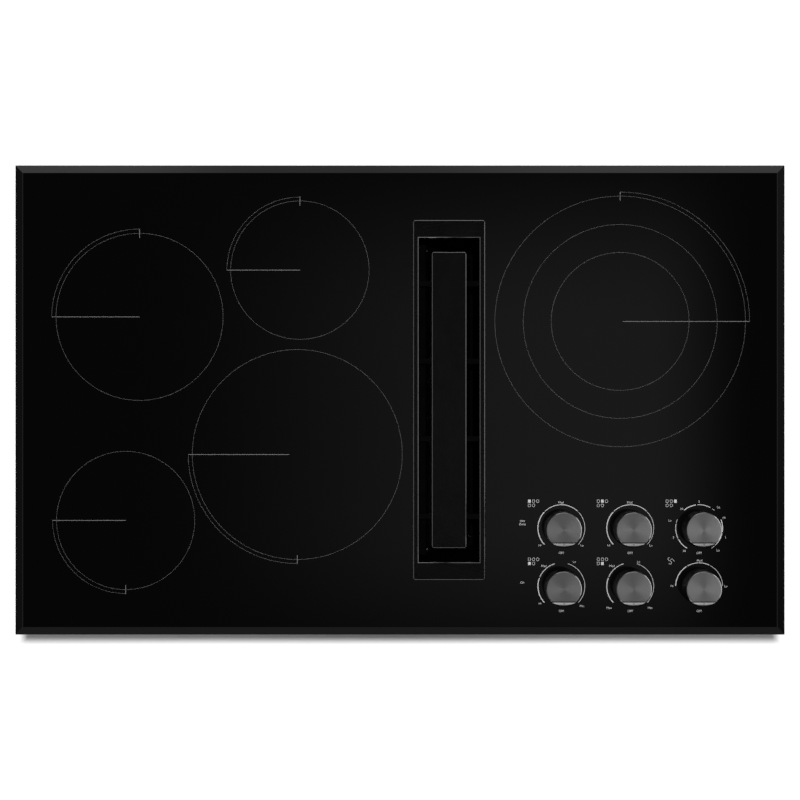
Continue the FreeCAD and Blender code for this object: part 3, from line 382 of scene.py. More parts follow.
def softened(node, looks, body, round_off, segments=2, deep=None, above=None):
    """A piece in a solid's place, with its sharp edges rounded off.

    The roundings take the second look, and faces below the height deep the
    third. Where a height above is given, only the edges over it are rounded.
    """
    bm = bmesh.new()
    bm.from_mesh(nodes[node].data)
    bmesh.ops.remove_doubles(bm, verts=bm.verts, dist=1e-6)
    bmesh.ops.dissolve_limit(bm, angle_limit=math.radians(1), verts=bm.verts, edges=bm.edges)
    folded = [edge for edge in bm.edges if len(edge.link_faces) == 2]
    sharp = [edge for edge in folded if edge.calc_face_angle(0) > math.radians(12)]
    if above is not None:
        sharp = [e for e in sharp if min(v.co.z for v in e.verts) > above]
    inputs = {"geom": sharp, "offset": round_off, "segments": segments, "profile": 0.5, "affect": "EDGES"}
    bmesh.ops.bevel(bm, **inputs, clamp_overlap=True)
    bm.normal_update()
    for face in bm.faces:
        if deep is not None and face.calc_center_median().z < deep:
            face.material_index = 2
        elif len(looks) > 1 and 0.02 < abs(face.normal.z) < 0.98:
            face.material_index = 1
    made = piece(node + "_skin", bm, looks, body, smooth=50)
    even_shading(made)
    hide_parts(node)
    return made


def lathe(profile, segments=96):
    """A turned shape round Z, from its outline of radius and height."""
    bm = bmesh.new()
    verts = [bm.verts.new((r, 0, z)) for r, z in profile]
    edges = [bm.edges.new(pair) for pair in zip(verts, verts[1:])]
    inputs = {"geom": verts + edges, "axis": (0, 0, 1), "cent": (0, 0, 0), "angle": math.tau}
    bmesh.ops.spin(bm, **inputs, steps=segments, use_duplicate=False)
    bmesh.ops.remove_doubles(bm, verts=bm.verts, dist=1e-6)
    bmesh.ops.recalc_face_normals(bm, faces=bm.faces)
    return bm


def strip(bm, points, width, z, closed=False):
    """A flat line of a width through points, on the glass."""
    count = len(points)
    rows = []
    for index, point in enumerate(points):
        before = points[(index - 1) % count] if closed or index else point
        after = points[(index + 1) % count] if closed or index < count - 1 else point
        along = Vector((after[0] - before[0], after[1] - before[1])).normalized()
        side = Vector((-along.y, along.x)) * width / 2
        rows.append([bm.verts.new((point[0] + d * side.x, point[1] + d * side.y, z)) for d in (-1, 1)])
    pairs = list(zip(rows, rows[1:] + rows[:1])) if closed else list(zip(rows, rows[1:]))
    for a, b in pairs:
        bm.faces.new((a[0], b[0], b[1], a[1]))


def arc_points(x, y, radius, start, end, step=2.0):
    """Points on an arc from one angle to another in degrees, about a step apart."""
    count = max(2, int(abs(end - start) / step) + 1)
    angles = [math.radians(start + (end - start) * i / (count - 1)) for i in range(count)]
    return [(x + radius * math.cos(a), y + radius * math.sin(a)) for a in angles]


# Knobs


PRINT_LIFT = 0.03 * MM
KNOB_BASE = 9.1 * MM
KNOB_TOP = 33.1 * MM
KNOB_RADIUS = 21.75 * MM
FACE_RADIUS = 20.3 * MM
# The pointer: the face slopes down in front of a chord, behind a groove whose faces take the black moulding
# as painted shade
POINTER_CHORD = -14.2 * MM
POINTER_DROP = 3.0 * MM
GROOVE_WIDTH = 1.2 * MM
GROOVE_DEPTH = 0.5 * MM


def knob(dial):
    """A tapered black dial with a turned metal face, bevelled at the front as its pointer."""
    high = KNOB_TOP - KNOB_BASE
    side = [
        (2.6 * MM, 0.0),
        (KNOB_RADIUS - 1.6 * MM, 0.0),
        (KNOB_RADIUS - 0.5 * MM, 0.15 * MM),
        (KNOB_RADIUS, 0.9 * MM),
        (KNOB_RADIUS - 0.1 * MM, 2.2 * MM),
        (FACE_RADIUS + 0.35 * MM, high - 2.0 * MM),
        (FACE_RADIUS + 0.3 * MM, high - 1.2 * MM),
    ]
    face = [
        (FACE_RADIUS + 0.3 * MM, high - 0.44 * MM),
        (FACE_RADIUS + 0.26 * MM, high - 0.36 * MM),
        (FACE_RADIUS - 0.16 * MM, high - 0.03 * MM),
    ]
    rings = [(FACE_RADIUS - 0.4 * MM - i * 2.2 * MM, high - 0.01 * MM) for i in range(9)]
    bm = lathe(side + face + rings + [(0, high)])
    chord = POINTER_CHORD
    groove_end = chord - GROOVE_WIDTH
    for cut in (chord, chord - GROOVE_WIDTH / 2, groove_end):
        geometry = list(bm.verts) + list(bm.edges) + list(bm.faces)
        bmesh.ops.bisect_plane(bm, geom=geometry, plane_co=(0, cut, 0), plane_no=(0, 1, 0), dist=1e-7)
    reach = FACE_RADIUS + chord
    for vert in bm.verts:
        if vert.co.y < chord - 1e-6 and vert.co.z > high - 1.1 * MM:
            past = (chord - vert.co.y) / reach
            vert.co.z -= POINTER_DROP * past
            if vert.co.y > groove_end + 1e-6:
                vert.co.z -= GROOVE_DEPTH
    bm.normal_update()
    for made in bm.faces:
        middle = made.calc_center_median()
        if middle.z > high - POINTER_DROP - 0.6 * MM and made.normal.z > 0.3:
            edge = middle.xy.length > FACE_RADIUS - 0.3 * MM
            # The groove's faces take the black moulding: painted shade in the groove
            made.material_index = 0 if groove_end < middle.y < chord else 2 if edge else 1
    mark = [(0, groove_end - 0.6 * MM), (0, groove_end - 2.2 * MM)]
    strip(bm, mark, 0.9 * MM, high)
    bm.verts.ensure_lookup_table()
    for vert in bm.verts[-4:]:
        vert.co.z = high + PRINT_LIFT - POINTER_DROP * (chord - vert.co.y) / reach
    x, y = DIALS[dial]
    made = piece(f"dial_{dial}", bm, ["dial", "spun", "rim"], f"knob_{dial}", (x, y, KNOB_BASE), 24)
    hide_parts(f"knob_{dial}")


# Prints on the glass


PRINT_Z = GLASS_TOP + PRINT_LIFT
CIRCLE_WIDTH = 0.16 * MM
LINE_WIDTH = 0.52 * MM
TICK_WIDTH = 0.56 * MM
TICK_REACH = 5.3
# Each zone in millimetres: its centre, its circles' radii, its guide arc's radius and angles
# in degrees, and how far from the centre its line starts
ZONES = (
    (-308.6, 98.5, (99.0,), 104.1, (90, 180), 0.0),
    (-118.6, 153.9, (82.0,), 86.5, (90, 180), 0.0),
    (-121.7, -64.6, (124.4,), 129.2, (180, 270), 9.5),
    (-325.1, -142.7, (81.9,), 86.6, (180, 270), 0.0),
    (260.9, 93.1, (148.5, 114.9, 81.7), 153.3, (0, 90), 3.0),
)


def zone_prints():
    """The cooking zones' circles, each with its guide arc, line and tick."""
    bm = bmesh.new()
    for x, y, circles, guide, span, line_start in ZONES:
        for radius in circles:
            points = arc_points(x * MM, y * MM, radius * MM, 0, 358, 2.0)
            strip(bm, points, CIRCLE_WIDTH, PRINT_Z, True)
        strip(bm, arc_points(x * MM, y * MM, guide * MM, *span), CIRCLE_WIDTH, PRINT_Z)
        way = -1 if 180 in span else 1
        ends = (x + way * line_start) * MM, (x + way * guide) * MM
        strip(bm, [(end, y * MM) for end in ends], LINE_WIDTH, PRINT_Z)
        up = 1 if 90 in span else -1
        ends = (y + up * (circles[0] - TICK_REACH)) * MM, (y + up * (circles[0] + TICK_REACH)) * MM
        strip(bm, [(x * MM, end) for end in ends], TICK_WIDTH, PRINT_Z)
    piece("zone_prints", bm, ["ink"], "cooktop")


SCALE_RADIUS = 27.8 * MM
BOLD_WIDTH = 0.66 * MM
END_TRIM = 1.3
# Each dial's scale: where its arcs start and end in degrees, and how bold they are
SCALES = {
    1: ((225, 135, 1.6), (135, 45, 1.2), (45, -45, 0.8)),
    2: ((225, 135, 1.6), (135, 45, 1.2), (45, -45, 0.8)),
    3: (
        (240, 207, 1.6),
        (207, 168, 1.2),
        (168, 157, 0.8),
        (131, 97, 1.6),
        (95, 60, 1.2),
        (57, 48, 0.8),
        (23, -11, 1.6),
        (-11, -48, 1.2),
        (-48, -60, 0.8),
    ),
    4: ((225, 158, 1.6), (158, 105, 1.2), (75, -45, 0.8)),
    5: ((225, 158, 1.6), (158, 105, 1.2), (75, -45, 0.8)),
    6: ((180, 121, 1.6), (121, 63, 1.2), (63, 0, 0.8)),
}
# Each dial's words, with their places in millimetres from the dial's middle
WORDS = {
    1: (("Hi", -25.4, -19.9), ("Lo", 24.4, -19.9), ("Med", -0.5, 31.0)),
    2: (("Hi", -25.4, -19.9), ("Lo", 24.4, -19.9), ("Med", -0.5, 31.0)),
    3: (
        ("2", -0.2, 32.2),
        ("Hi", -20.4, 23.5),
        ("Lo", 22.9, 25.4),
        ("Hi", 29.4, 13.0),
        ("1", 31.2, -10.4),
        ("Lo", 22.3, -25.6),
        ("Hi", -17.4, -26.4),
        ("3", -30.5, -10.4),
        ("Lo", -34.6, 9.7),
    ),
    4: (("Med", -20.9, 24.6), ("Lo", 15.3, 29.6), ("Hi", -25.4, -19.8), ("Min", 24.4, -22.9)),
    5: (("Med", -21.7, 24.6), ("Lo", 9.8, 29.4), ("Max", -25.1, -25.0), ("Min", 23.5, -25.0)),
    6: (("Hi", -32.1, 0.9), ("Med", 0.6, 31.0), ("Lo", 31.7, 0.6)),
}
OFF_WORD = ("OFF", 0, -28.8)
INDICATOR_WORDS = (("Hot", 145.0, -142.7), ("Zone", 145.0, -146.6), ("On", 144.9, -215.7))
# A zone icon's squares and the fan's symbol, from the dial's middle, and the square that is
# filled for each dial
ICON_SQUARES = ((-37.9, 32.0), (-33.0, 32.0), (-28.1, 32.0), (-37.9, 27.0), (-33.0, 27.0))
SYMBOL_PLACE = (-33.2, 30.1)
FILLED = {1: 0, 2: 1, 3: 2, 4: 3, 5: 4}


def word(bm, text, x, y, cap=2.6):
    """A short generic word, flat on the glass round a point, its capitals cap millimetres high."""
    curve = bpy.data.curves.new("word", "FONT")
    curve.body = text
    curve.size = cap * MM / 0.7
    curve.align_x = "CENTER"
    curve.align_y = "CENTER"
    holder = bpy.data.objects.new("word", curve)
    flat = bpy.data.meshes.new_from_object(holder)
    flat.transform(Matrix.Translation((x, y - 0.25 * cap * MM, PRINT_Z)))
    bm.from_mesh(flat)
    bpy.data.objects.remove(holder)
    bpy.data.curves.remove(curve)
    bpy.data.meshes.remove(flat)


def square(bm, x, y, filled):
    """A small rounded square of a zone icon: filled, or only its outline."""
    half = 1.6 * MM
    tall = 1.85 * MM
    round_off = 0.8 * MM
    if filled:
        strip(bm, [(x - half, y), (x + half, y)], 2 * tall, PRINT_Z)
        return
    line = 0.4 * MM
    points = []
    for turn, (dx, dy) in enumerate(((1, 1), (-1, 1), (-1, -1), (1, -1))):
        centre = (x + dx * (half - line / 2 - round_off), y + dy * (tall - line / 2 - round_off))
        points += arc_points(*centre, round_off, 90 * turn, 90 * turn + 90, 30)
    strip(bm, points, line, PRINT_Z, True)


STROKE_WIDTH = 0.46 * MM
AIR_STROKES = (
    (
        (-1.5, 3.9),
        (-3.4, 3.6),
        (-3.9, 1.7),
        (-2.4, 0.4),
        (-0.4, -0.5),
        (0.8, -1.7),
        (0.1, -3.4),
        (-1.4, -3.9),
        (-2.9, -3.1),
    ),
    ((-1.0, 0.5), (0.2, 2.1), (1.6, 2.5), (2.4, 1.0), (3.9, -0.4)),
)


def fan_symbol(bm, x, y):
    """Moving air: two wavy strokes, their corners cut three times over."""
    for stroke in AIR_STROKES:
        points = [(x + dx * MM, y + dy * MM) for dx, dy in stroke]
        for _ in range(3):
            softer = [points[0]]
            for a, b in zip(points, points[1:]):
                softer += [tuple(a[i] + t * (b[i] - a[i]) for i in (0, 1)) for t in (0.25, 0.75)]
            points = softer + [points[-1]]
        strip(bm, points, STROKE_WIDTH, PRINT_Z)


def dial_prints():
    """Each dial's scale, words and icon, and the words beside the indicators."""
    bm = bmesh.new()
    for dial, (x, y) in DIALS.items():
        for start, end, bold in SCALES[dial]:
            points = arc_points(x, y, SCALE_RADIUS, start - END_TRIM, end + END_TRIM)
            strip(bm, points, bold * BOLD_WIDTH, PRINT_Z)
        for text, dx, dy in WORDS[dial] + (OFF_WORD,):
            word(bm, text, x + dx * MM, y + dy * MM)
        if dial in FILLED:
            for index, (dx, dy) in enumerate(ICON_SQUARES):
                square(bm, x + dx * MM, y + dy * MM, index == FILLED[dial])
        else:
            fan_symbol(bm, x + SYMBOL_PLACE[0] * MM, y + SYMBOL_PLACE[1] * MM)
    for text, x, y in INDICATOR_WORDS:
        word(bm, text, x * MM, y * MM)
    piece("dial_prints", bm, ["bold_ink"], "cooktop")


# Screws


SCREW_PROFILE = ((0, 0.45), (0.3, 0.5), (0.34, 0.96), (0.62, 1), (0.9, 0.72), (1, 0.25), (1, 0))
SCREW_HEIGHT_SHARE = 0.55


def pan_screw(radius):
    """A pan head with a recess, its seat at the origin."""
    high = radius * SCREW_HEIGHT_SHARE
    return lathe([(radius * r, high * z) for r, z in SCREW_PROFILE], 24)


def screws(name, body, spots, radius):
    """Screw heads at places, each with the direction that it faces."""
    whole = bmesh.new()
    for place, facing in spots:
        bm = pan_screw(radius)
        turn = Vector((0, 0, 1)).rotation_difference(Vector(facing)).to_matrix().to_4x4()
        bm.transform(Matrix.Translation(place) @ turn)
        mesh = bpy.data.meshes.new("screw")
        bm.to_mesh(mesh)
        bm.free()
        whole.from_mesh(mesh)
        bpy.data.meshes.remove(mesh)
    piece(name, whole, ["screw"], body)


# Details of the parts below the glass


def slab(bm, low, high, round_off=0.4 * MM):
    """A thin plate or strip between two corners in millimetres, its edges rounded."""
    low, high = Vector(low) * MM, Vector(high) * MM
    made = bmesh.ops.create_cube(bm, size=1.0)["verts"]
    for vert in made:
        vert.co = Vector([(low[i] + high[i]) / 2 + vert.co[i] * (high[i] - low[i]) for i in range(3)])
    edges = {edge for vert in made for edge in vert.link_edges}
    inputs = {"geom": list(edges), "offset": round_off, "segments": 2, "profile": 0.5, "affect": "EDGES"}
    bmesh.ops.bevel(bm, **inputs, clamp_overlap=True)


def tube(bm, path, radius, closed=False, sides=10):
    """A round bead along points."""
    points = [Vector(point) for point in path]
    count = len(points)
    rings = []
    side = None
    for index, point in enumerate(points):
        before = points[(index - 1) % count] if closed or index else point
        after = points[(index + 1) % count] if closed or index < count - 1 else point
        along = (after - before).normalized()
        if side is None:
            side = along.orthogonal().normalized()
        side = (side - along * side.dot(along)).normalized()
        other = along.cross(side)
        turns = [math.tau * i / sides for i in range(sides)]
        spokes = [math.cos(a) * side + math.sin(a) * other for a in turns]
        rings.append([bm.verts.new(point + radius * spoke) for spoke in spokes])
    pairs = list(zip(rings, rings[1:] + rings[:1])) if closed else list(zip(rings, rings[1:]))
    for a, b in pairs:
        for i in range(sides):
            bm.faces.new((a[i], a[(i + 1) % sides], b[(i + 1) % sides], b[i]))
    if not closed:
        bm.faces.new(rings[0][::-1])
        bm.faces.new(rings[-1])


def cross_broken(bm, corners, out, rise=1.3 * MM, inset=9 * MM, lift=0.1 * MM):
    """A duct wall creased from corner to corner, so that its middle stands a little proud."""
    points = [Vector(corner) * MM for corner in corners]
    middle = sum(points, Vector()) / 4
    out = Vector(out)
    rim = [bm.verts.new(point + (middle - point).normalized() * inset + out * lift) for point in points]
    top = bm.verts.new(middle + out * rise)
    for a, b in zip(rim, rim[1:] + rim[:1]):
        face = bm.faces.new((a, b, top))
        face.normal_update()
        if face.normal.dot(out) < 0:
            face.normal_flip()


# The scroll in millimetres: each quarter turn is an arc wider than the one before by the step
SCROLL_STEP = 10
SCROLL_RADIUS = 79
SCROLL_FOOT = 104
MOUTH_REACH = 130
TONGUE_REACH = 74


def scroll_outline():
    """The scroll's outline as seen from the front, in millimetres: three arcs and the mouth."""
    x, z = VENT_X / MM, BLOWER_Z / MM
    mouth_x = x - MOUTH_REACH
    tongue = max(v.co.z / MM for v in nodes["blower_cover"].data.vertices if v.co.x / MM < mouth_x + 1)
    off = SCROLL_STEP / 2
    points = []
    for turn, (dx, dz) in enumerate(((off, off), (off, -off), (-off, -off))):
        start = 180 - 90 * turn
        points += arc_points(x + dx, z + dz, SCROLL_RADIUS + SCROLL_STEP * turn, start, start - 90, 6)
    points += [(mouth_x, z - SCROLL_FOOT), (mouth_x, tongue), (x - TONGUE_REACH, tongue)]
    return points


# The outlet in millimetres: its collar's middle and radius, and its flange's span
COLLAR_Y, COLLAR_Z, COLLAR_RADIUS = -78.5, -427.0, 62.6
FLANGE_X = (-131.2, -119.0)
FLANGE_Y = (-142.5, -14.5)
HEM_HALF = 1.2
COVER_Y = -127.0
COVER_SCREWS = (
    (19, -304),
    (104, -301),
    (140, -352),
    (132, -417),
    (88, -457),
    (10, -464),
    (-60, -464),
    (-60, -392),
)


def blower_details():
    """The seams of the scroll housing, the outlet's hems and beads, and their screws."""
    bm = bmesh.new()
    outline = scroll_outline()
    for y in (-126.0, -31.2):
        tube(bm, [(px * MM, y * MM, pz * MM) for px, pz in outline], 1.5 * MM, True)
    piece("scroll_seams", bm, ["zinc"], "cooktop", smooth=60)
    bm = bmesh.new()
    for x, radius in ((-146.0, 1.6), (-171.4, 1.3)):
        ring = arc_points(COLLAR_Y, COLLAR_Z, COLLAR_RADIUS, 0, 355, 5)
        tube(bm, [(x * MM, py * MM, pz * MM) for py, pz in ring], radius * MM, True)
    for y in FLANGE_Y:
        slab(bm, (FLANGE_X[0], y - HEM_HALF, -491.5), (FLANGE_X[1], y + HEM_HALF, -362.5))
    for z in (-491.2, -362.8):
        slab(bm, (FLANGE_X[0], FLANGE_Y[0], z - HEM_HALF), (FLANGE_X[1], FLANGE_Y[1], z + HEM_HALF))
    piece("collar_beads", bm, ["zinc"], "cooktop", smooth=60)
    spots = [((-132.9 * MM, y * MM, z * MM), (-1, 0, 0)) for y in (-138, -19) for z in (-486.5, -367.5)]
    screws("outlet_screws", "cooktop", spots, 3.4 * MM)
    spots = [((px * MM, COVER_Y * MM, pz * MM), (0, -1, 0)) for px, pz in COVER_SCREWS]
    screws("cover_screws", "cooktop", spots, 3.2 * MM)


# The motor in millimetres: radius and height above the cover, from the mounting flange out
MOTOR_PROFILE = (
    (0, 0),
    (46, 0),
    (46, 2.2),
    (43.6, 2.8),
    (43.6, 16),
    (44.6, 16.6),
    (44.6, 18.4),
    (45.4, 18.8),
    (45.4, 48.8),
    (44.6, 49.2),
    (44.6, 51),
    (43.6, 51.6),
    (43.6, 61),
    (42.6, 64.6),
    (39.6, 67),
    (15, 68),
    (14.2, 69.6),
    (12.6, 70),
    (4.4, 70),
    (4, 68.6),
    (0, 68.6),
)
CORE_SPAN = (18.4 * MM, 49.2 * MM)
CORE_RADIUS = 45 * MM
AIR_SLOTS = 12
BOLT_CIRCLE = 40.6 * MM


def motor():
    """Two painted end bells round a stack of core plates, with through bolts, and air slots drawn as
    near-black quads of painted shade.
    """
    bm = lathe([(r * MM, y * MM) for r, y in MOTOR_PROFILE], 72)
    for face in bm.faces:
        middle = face.calc_center_median()
        if CORE_SPAN[0] < middle.z < CORE_SPAN[1] and middle.xy.length > CORE_RADIUS:
            face.material_index = 1
    # Each air slot is a flat near-black quad over the end bell: painted shade for the dark inside of the
    # slot
    for turn in range(AIR_SLOTS):
        a = math.tau * turn / AIR_SLOTS
        slot = bmesh.ops.create_grid(bm, x_segments=1, y_segments=1, size=1.0)["verts"]
        for vert in slot:
            flat = Vector(((28 + 8.5 * vert.co.x) * MM, 2.1 * MM * vert.co.y, 67.55 * MM))
            vert.co = Matrix.Rotation(a, 3, "Z") @ flat
        for face in slot[0].link_faces:
            face.material_index = 2
    forward = Matrix.Rotation(math.radians(90), 4, "X")
    bm.transform(Matrix.Translation((VENT_X, COVER_Y * MM, BLOWER_Z)) @ forward)
    made = piece("motor_shell", bm, ["motor", "stack", "void"], "cooktop", smooth=35)
    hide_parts("blower_motor")
    bolts = bmesh.new()
    nut_sizes = {"segments": 6, "radius1": 3.6 * MM, "radius2": 3.4 * MM, "depth": 3 * MM}
    for turn in (45, 135, 225, 315):
        px = VENT_X + BOLT_CIRCLE * math.cos(math.radians(turn))
        pz = BLOWER_Z + BOLT_CIRCLE * math.sin(math.radians(turn))
        nut = bmesh.ops.create_cone(bolts, cap_ends=True, **nut_sizes)
        turned = Matrix.Translation((px, -192.2 * MM, pz)) @ forward
        bmesh.ops.transform(bolts, matrix=turned, verts=nut["verts"])
        tube(bolts, [(px, -196 * MM, pz), (px, -190 * MM, pz)], 1.6 * MM)
    piece("motor_bolts", bolts, ["screw"], "cooktop")


# The sheet metal in millimetres: the plenum's walls, and the chamber's walls above it
PLENUM_HALF_WIDTH = 100
PLENUM_FRONT, PLENUM_BACK = -30, 204.25
PLENUM_FLOOR, PLENUM_TOP = -460, -236
CHAMBER_WALL = 40.35
CHAMBER_END = 196.25
CHAMBER_SPAN = (-234, -73)
PLENUM_LAP = 9
CHAMBER_LAP = 14
FLANGE_TOP = -235


def sheet_details():
    """Creased duct walls, lap seams and flange screws of the chamber and plenum."""
    bm = bmesh.new()
    front, back, floor_z, top = PLENUM_FRONT, PLENUM_BACK, PLENUM_FLOOR, PLENUM_TOP
    left, right = VENT_X / MM - PLENUM_HALF_WIDTH, VENT_X / MM + PLENUM_HALF_WIDTH
    wall = VENT_X / MM - CHAMBER_WALL, VENT_X / MM + CHAMBER_WALL
    end, (low, high) = CHAMBER_END, CHAMBER_SPAN
    corners = [(left, back, floor_z), (right, back, floor_z), (right, back, top), (left, back, top)]
    cross_broken(bm, corners, (0, 1, 0))
    for x, way in ((left, -1), (right, 1)):
        corners = [(x, front, floor_z), (x, back, floor_z), (x, back, top), (x, front, top)]
        cross_broken(bm, corners, (way, 0, 0))
    for x, way in zip(wall, (-1, 1)):
        cross_broken(bm, [(x, -end, low), (x, end, low), (x, end, high), (x, -end, high)], (way, 0, 0))
    piece("creased_walls", bm, ["zinc"], "cooktop", smooth=0.2)
    bm = bmesh.new()
    for x0, x1 in ((left, left + PLENUM_LAP), (right - PLENUM_LAP, right)):
        slab(bm, (x0, back, floor_z + 1), (x1, back + 1.3, top - 1))
        slab(bm, (x0, front, floor_z - 1.3), (x1, back, floor_z))
    slab(bm, (wall[0], end, low + 1), (wall[0] + CHAMBER_LAP, end + 1.05, high - 0.5))
    slab(bm, (wall[1] - CHAMBER_LAP, -end - 1.05, low + 1), (wall[1], -end, high - 0.5))
    piece("lap_seams", bm, ["zinc"], "cooktop")
    places = [(x, y) for x in (wall[0] - 4, wall[1] + 4) for y in (-160, -80, 0, 80, 160)]
    places += [(x, y) for y in (-end - 4, end + 4) for x in (wall[0] + 10, wall[1] - 10)]
    spots = [((x * MM, y * MM, FLANGE_TOP * MM), (0, 0, 1)) for x, y in places]
    screws("flange_screws", "cooktop", spots, 2.6 * MM)


# The case in millimetres: its walls, its floor, the ribs pressed into them and its screws
CASE_SIDE, CASE_END, CASE_FLOOR = 433, 255.0, -72
RIB_HEIGHT = 1.0
FLOOR_RIBS = (-400, -316, -216, -120, -40, 150, 405)
FLOOR_RIB_SIZE = (24, 456)
WALL_RIBS = (-330, -110, 110, 330)
WALL_RIB_LENGTH = 170
WALL_RIB_SPAN = (-48, -28)
WALL_RIB_RISE = 0.9
WALL_SCREW_Z = -12


def case_details():
    """Pressed ribs and screws of the burner box, and the terminal box's screws and knockouts."""
    bm = bmesh.new()
    width, length = FLOOR_RIB_SIZE
    rib_low = CASE_FLOOR - RIB_HEIGHT
    for x in FLOOR_RIBS:
        low, high = (x - width / 2, -length / 2, rib_low), (x + width / 2, length / 2, rib_low + 1.4)
        slab(bm, low, high, 0.7 * MM)
    for y in (-CASE_END, CASE_END):
        low = min(y, y + math.copysign(WALL_RIB_RISE, y))
        bottom, top = WALL_RIB_SPAN
        for x in WALL_RIBS:
            ends = x - WALL_RIB_LENGTH / 2, x + WALL_RIB_LENGTH / 2
            slab(bm, (ends[0], low, bottom), (ends[1], low + WALL_RIB_RISE, top), 0.5 * MM)
    piece("case_ribs", bm, ["case"], "cooktop", smooth=40)
    spots = []
    for x, z in ((-316.0, rib_low), (-120.0, rib_low), (261.0, CASE_FLOOR)):
        for y in (-222, -75, 75, 222):
            if x < 0 or y < 222:  # the terminal box covers the last one
                spots.append(((x * MM, y * MM, z * MM), (0, 0, -1)))
    for way in (-1, 1):
        for x in (-415, -225, 0, 225, 415):
            spots.append(((x * MM, way * CASE_END * MM, WALL_SCREW_Z * MM), (0, way, 0)))
        for y in (-200, 200):
            spots.append(((way * CASE_SIDE * MM, y * MM, WALL_SCREW_Z * MM), (way, 0, 0)))
    screws("case_screws", "cooktop", spots, 3.6 * MM)
    low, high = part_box("terminal_box")
    inset = 8 * MM
    corners = [(x, y) for x in (low.x + inset, high.x - inset) for y in (low.y + inset, high.y - inset)]
    spots = [((x, y, low.z), (0, 0, -1)) for x, y in corners]
    screws("cover_plate_screws", "cooktop", spots, 3.2 * MM)
    bm = bmesh.new()
    centre = (low.x + high.x) / 2, (low.z + high.z) / 2
    for radius in (12.6 * MM, 17.0 * MM):
        ring = arc_points(*centre, radius, 0, 350, 10)
        tube(bm, [(px, high.y + 0.1 * MM, pz) for px, pz in ring], 0.7 * MM, True, 8)
    middle = (low.y + high.y) / 2
    ring = arc_points(middle, centre[1], 11.5 * MM, 0, 350, 10)
    tube(bm, [(high.x + 0.1 * MM, py, pz) for py, pz in ring], 0.6 * MM, True, 8)
    piece("knockout_rings", bm, ["zinc"], "cooktop", smooth=60)


def bracket_screws():
    """The screw that holds each hold-down bracket to the case's wall."""
    low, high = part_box("hold_down_brackets")
    foot = 17 * MM
    spots = [((x - way * foot, 0, -54.5 * MM), (way, 0, 0)) for x, way in ((low.x, -1), (high.x, 1))]
    screws("bracket_screws", "cooktop", spots, 5.0 * MM)


# The filter in millimetres: its mesh's half sizes, the wires' spacing and layers, its corners'
# rivets, and its pull's bends from the middle of the frame
MESH_HALF_LENGTH, MESH_HALF_HEIGHT = 177.5, 84.5
WIRE_SPACING, WIRE_RADIUS = 4.4, 0.42
WIRE_LAYERS = ((1, 3.3), (-1, 3.8), (1, -3.8), (-1, -3.3))
RIVET_Y, RIVET_HEIGHT = 182, 89
FRAME_FACE = 4.5
PULL_BENDS = ((-22, 86), (-22, 76), (-19, 68), (-12, 64), (0, 63), (12, 64), (19, 68), (22, 76), (22, 86))


def filter_details():
    """The filter's crossing wires, rivets in its frame's corners and a wire pull near its top."""
    low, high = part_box("filter_frame")
    out = max(nodes["filter_mesh"].data.polygons, key=lambda face: face.area * face.normal.x).normal.copy()
    centre = Vector(((low.x + high.x) / 2, 0, (low.z + high.z) / 2))
    up = Vector((-out.z, 0, out.x))

    def spot(y, height, off):
        """A place on the leaning filter: along it, up its slope and out of its face."""
        return centre + (up * height + out * off + Vector((0, y, 0))) * MM

    bm = bmesh.new()
    steps = int((MESH_HALF_LENGTH + MESH_HALF_HEIGHT) / WIRE_SPACING)
    for way, off in WIRE_LAYERS:
        for step in range(-steps, steps + 1):
            shift = step * WIRE_SPACING
            ends = sorted((way * (-MESH_HALF_HEIGHT - shift), way * (MESH_HALF_HEIGHT - shift)))
            start, end = max(ends[0], -MESH_HALF_LENGTH), min(ends[1], MESH_HALF_LENGTH)
            if end - start > WIRE_SPACING:
                tube(bm, [spot(y, way * y + shift, off) for y in (start, end)], WIRE_RADIUS * MM, False, 6)
    piece("filter_wires", bm, ["wire"], "grease_filter", smooth=60)
    corners = [(y, height) for y in (-RIVET_Y, RIVET_Y) for height in (-RIVET_HEIGHT, RIVET_HEIGHT)]
    spots = [(spot(y, height, FRAME_FACE), out) for y, height in corners]
    screws("filter_rivets", "grease_filter", spots, 2.6 * MM)
    bm = bmesh.new()
    tube(bm, [spot(y, height, FRAME_FACE + 1.4) for y, height in PULL_BENDS], 1.2 * MM)
    for y in (PULL_BENDS[0][0], PULL_BENDS[-1][0]):
        tube(bm, [spot(y, 87, FRAME_FACE), spot(y, 87, FRAME_FACE + 2.9)], 2.2 * MM, False, 12)
    # The pull is near-black too: painted shade down the vent
    piece("filter_pull", bm, ["filter_painted_shade"], "grease_filter", smooth=50)


# Light, floor and camera


def smooth(tree, value, start, end):
    """A soft step from 0 to 1 as the value goes from start to end."""
    inputs = {"Value": value, "From Min": start, "From Max": end}
    return add(tree, "MapRange", inputs, interpolation_type="SMOOTHSTEP").outputs["Result"]


def product(tree, *values):
    """The values multiplied."""
    total = values[0]
    for value in values[1:]:
        total = add(tree, "Math", {0: total, 1: value}, operation="MULTIPLY").outputs[0]
    return total


def total_of(tree, values):
    """The values added up."""
    total = values[0]
    for value in values[1:]:
        total = add(tree, "Math", {0: total, 1: value}, operation="ADD").outputs[0]
    return total


# How bright the sky's soft lights are, which the glass and the polished edges mirror
OVERHEAD = 0.2
BEHIND, BEHIND_LEFT, BEHIND_RIGHT = 0.55, 0.4, 0.38
IN_FRONT = 0.22
TO_THE_RIGHT, TO_THE_LEFT = 0.15, 0.08
BESIDE = 0.9
HORIZON = 0.3
DARKEST = 0.008


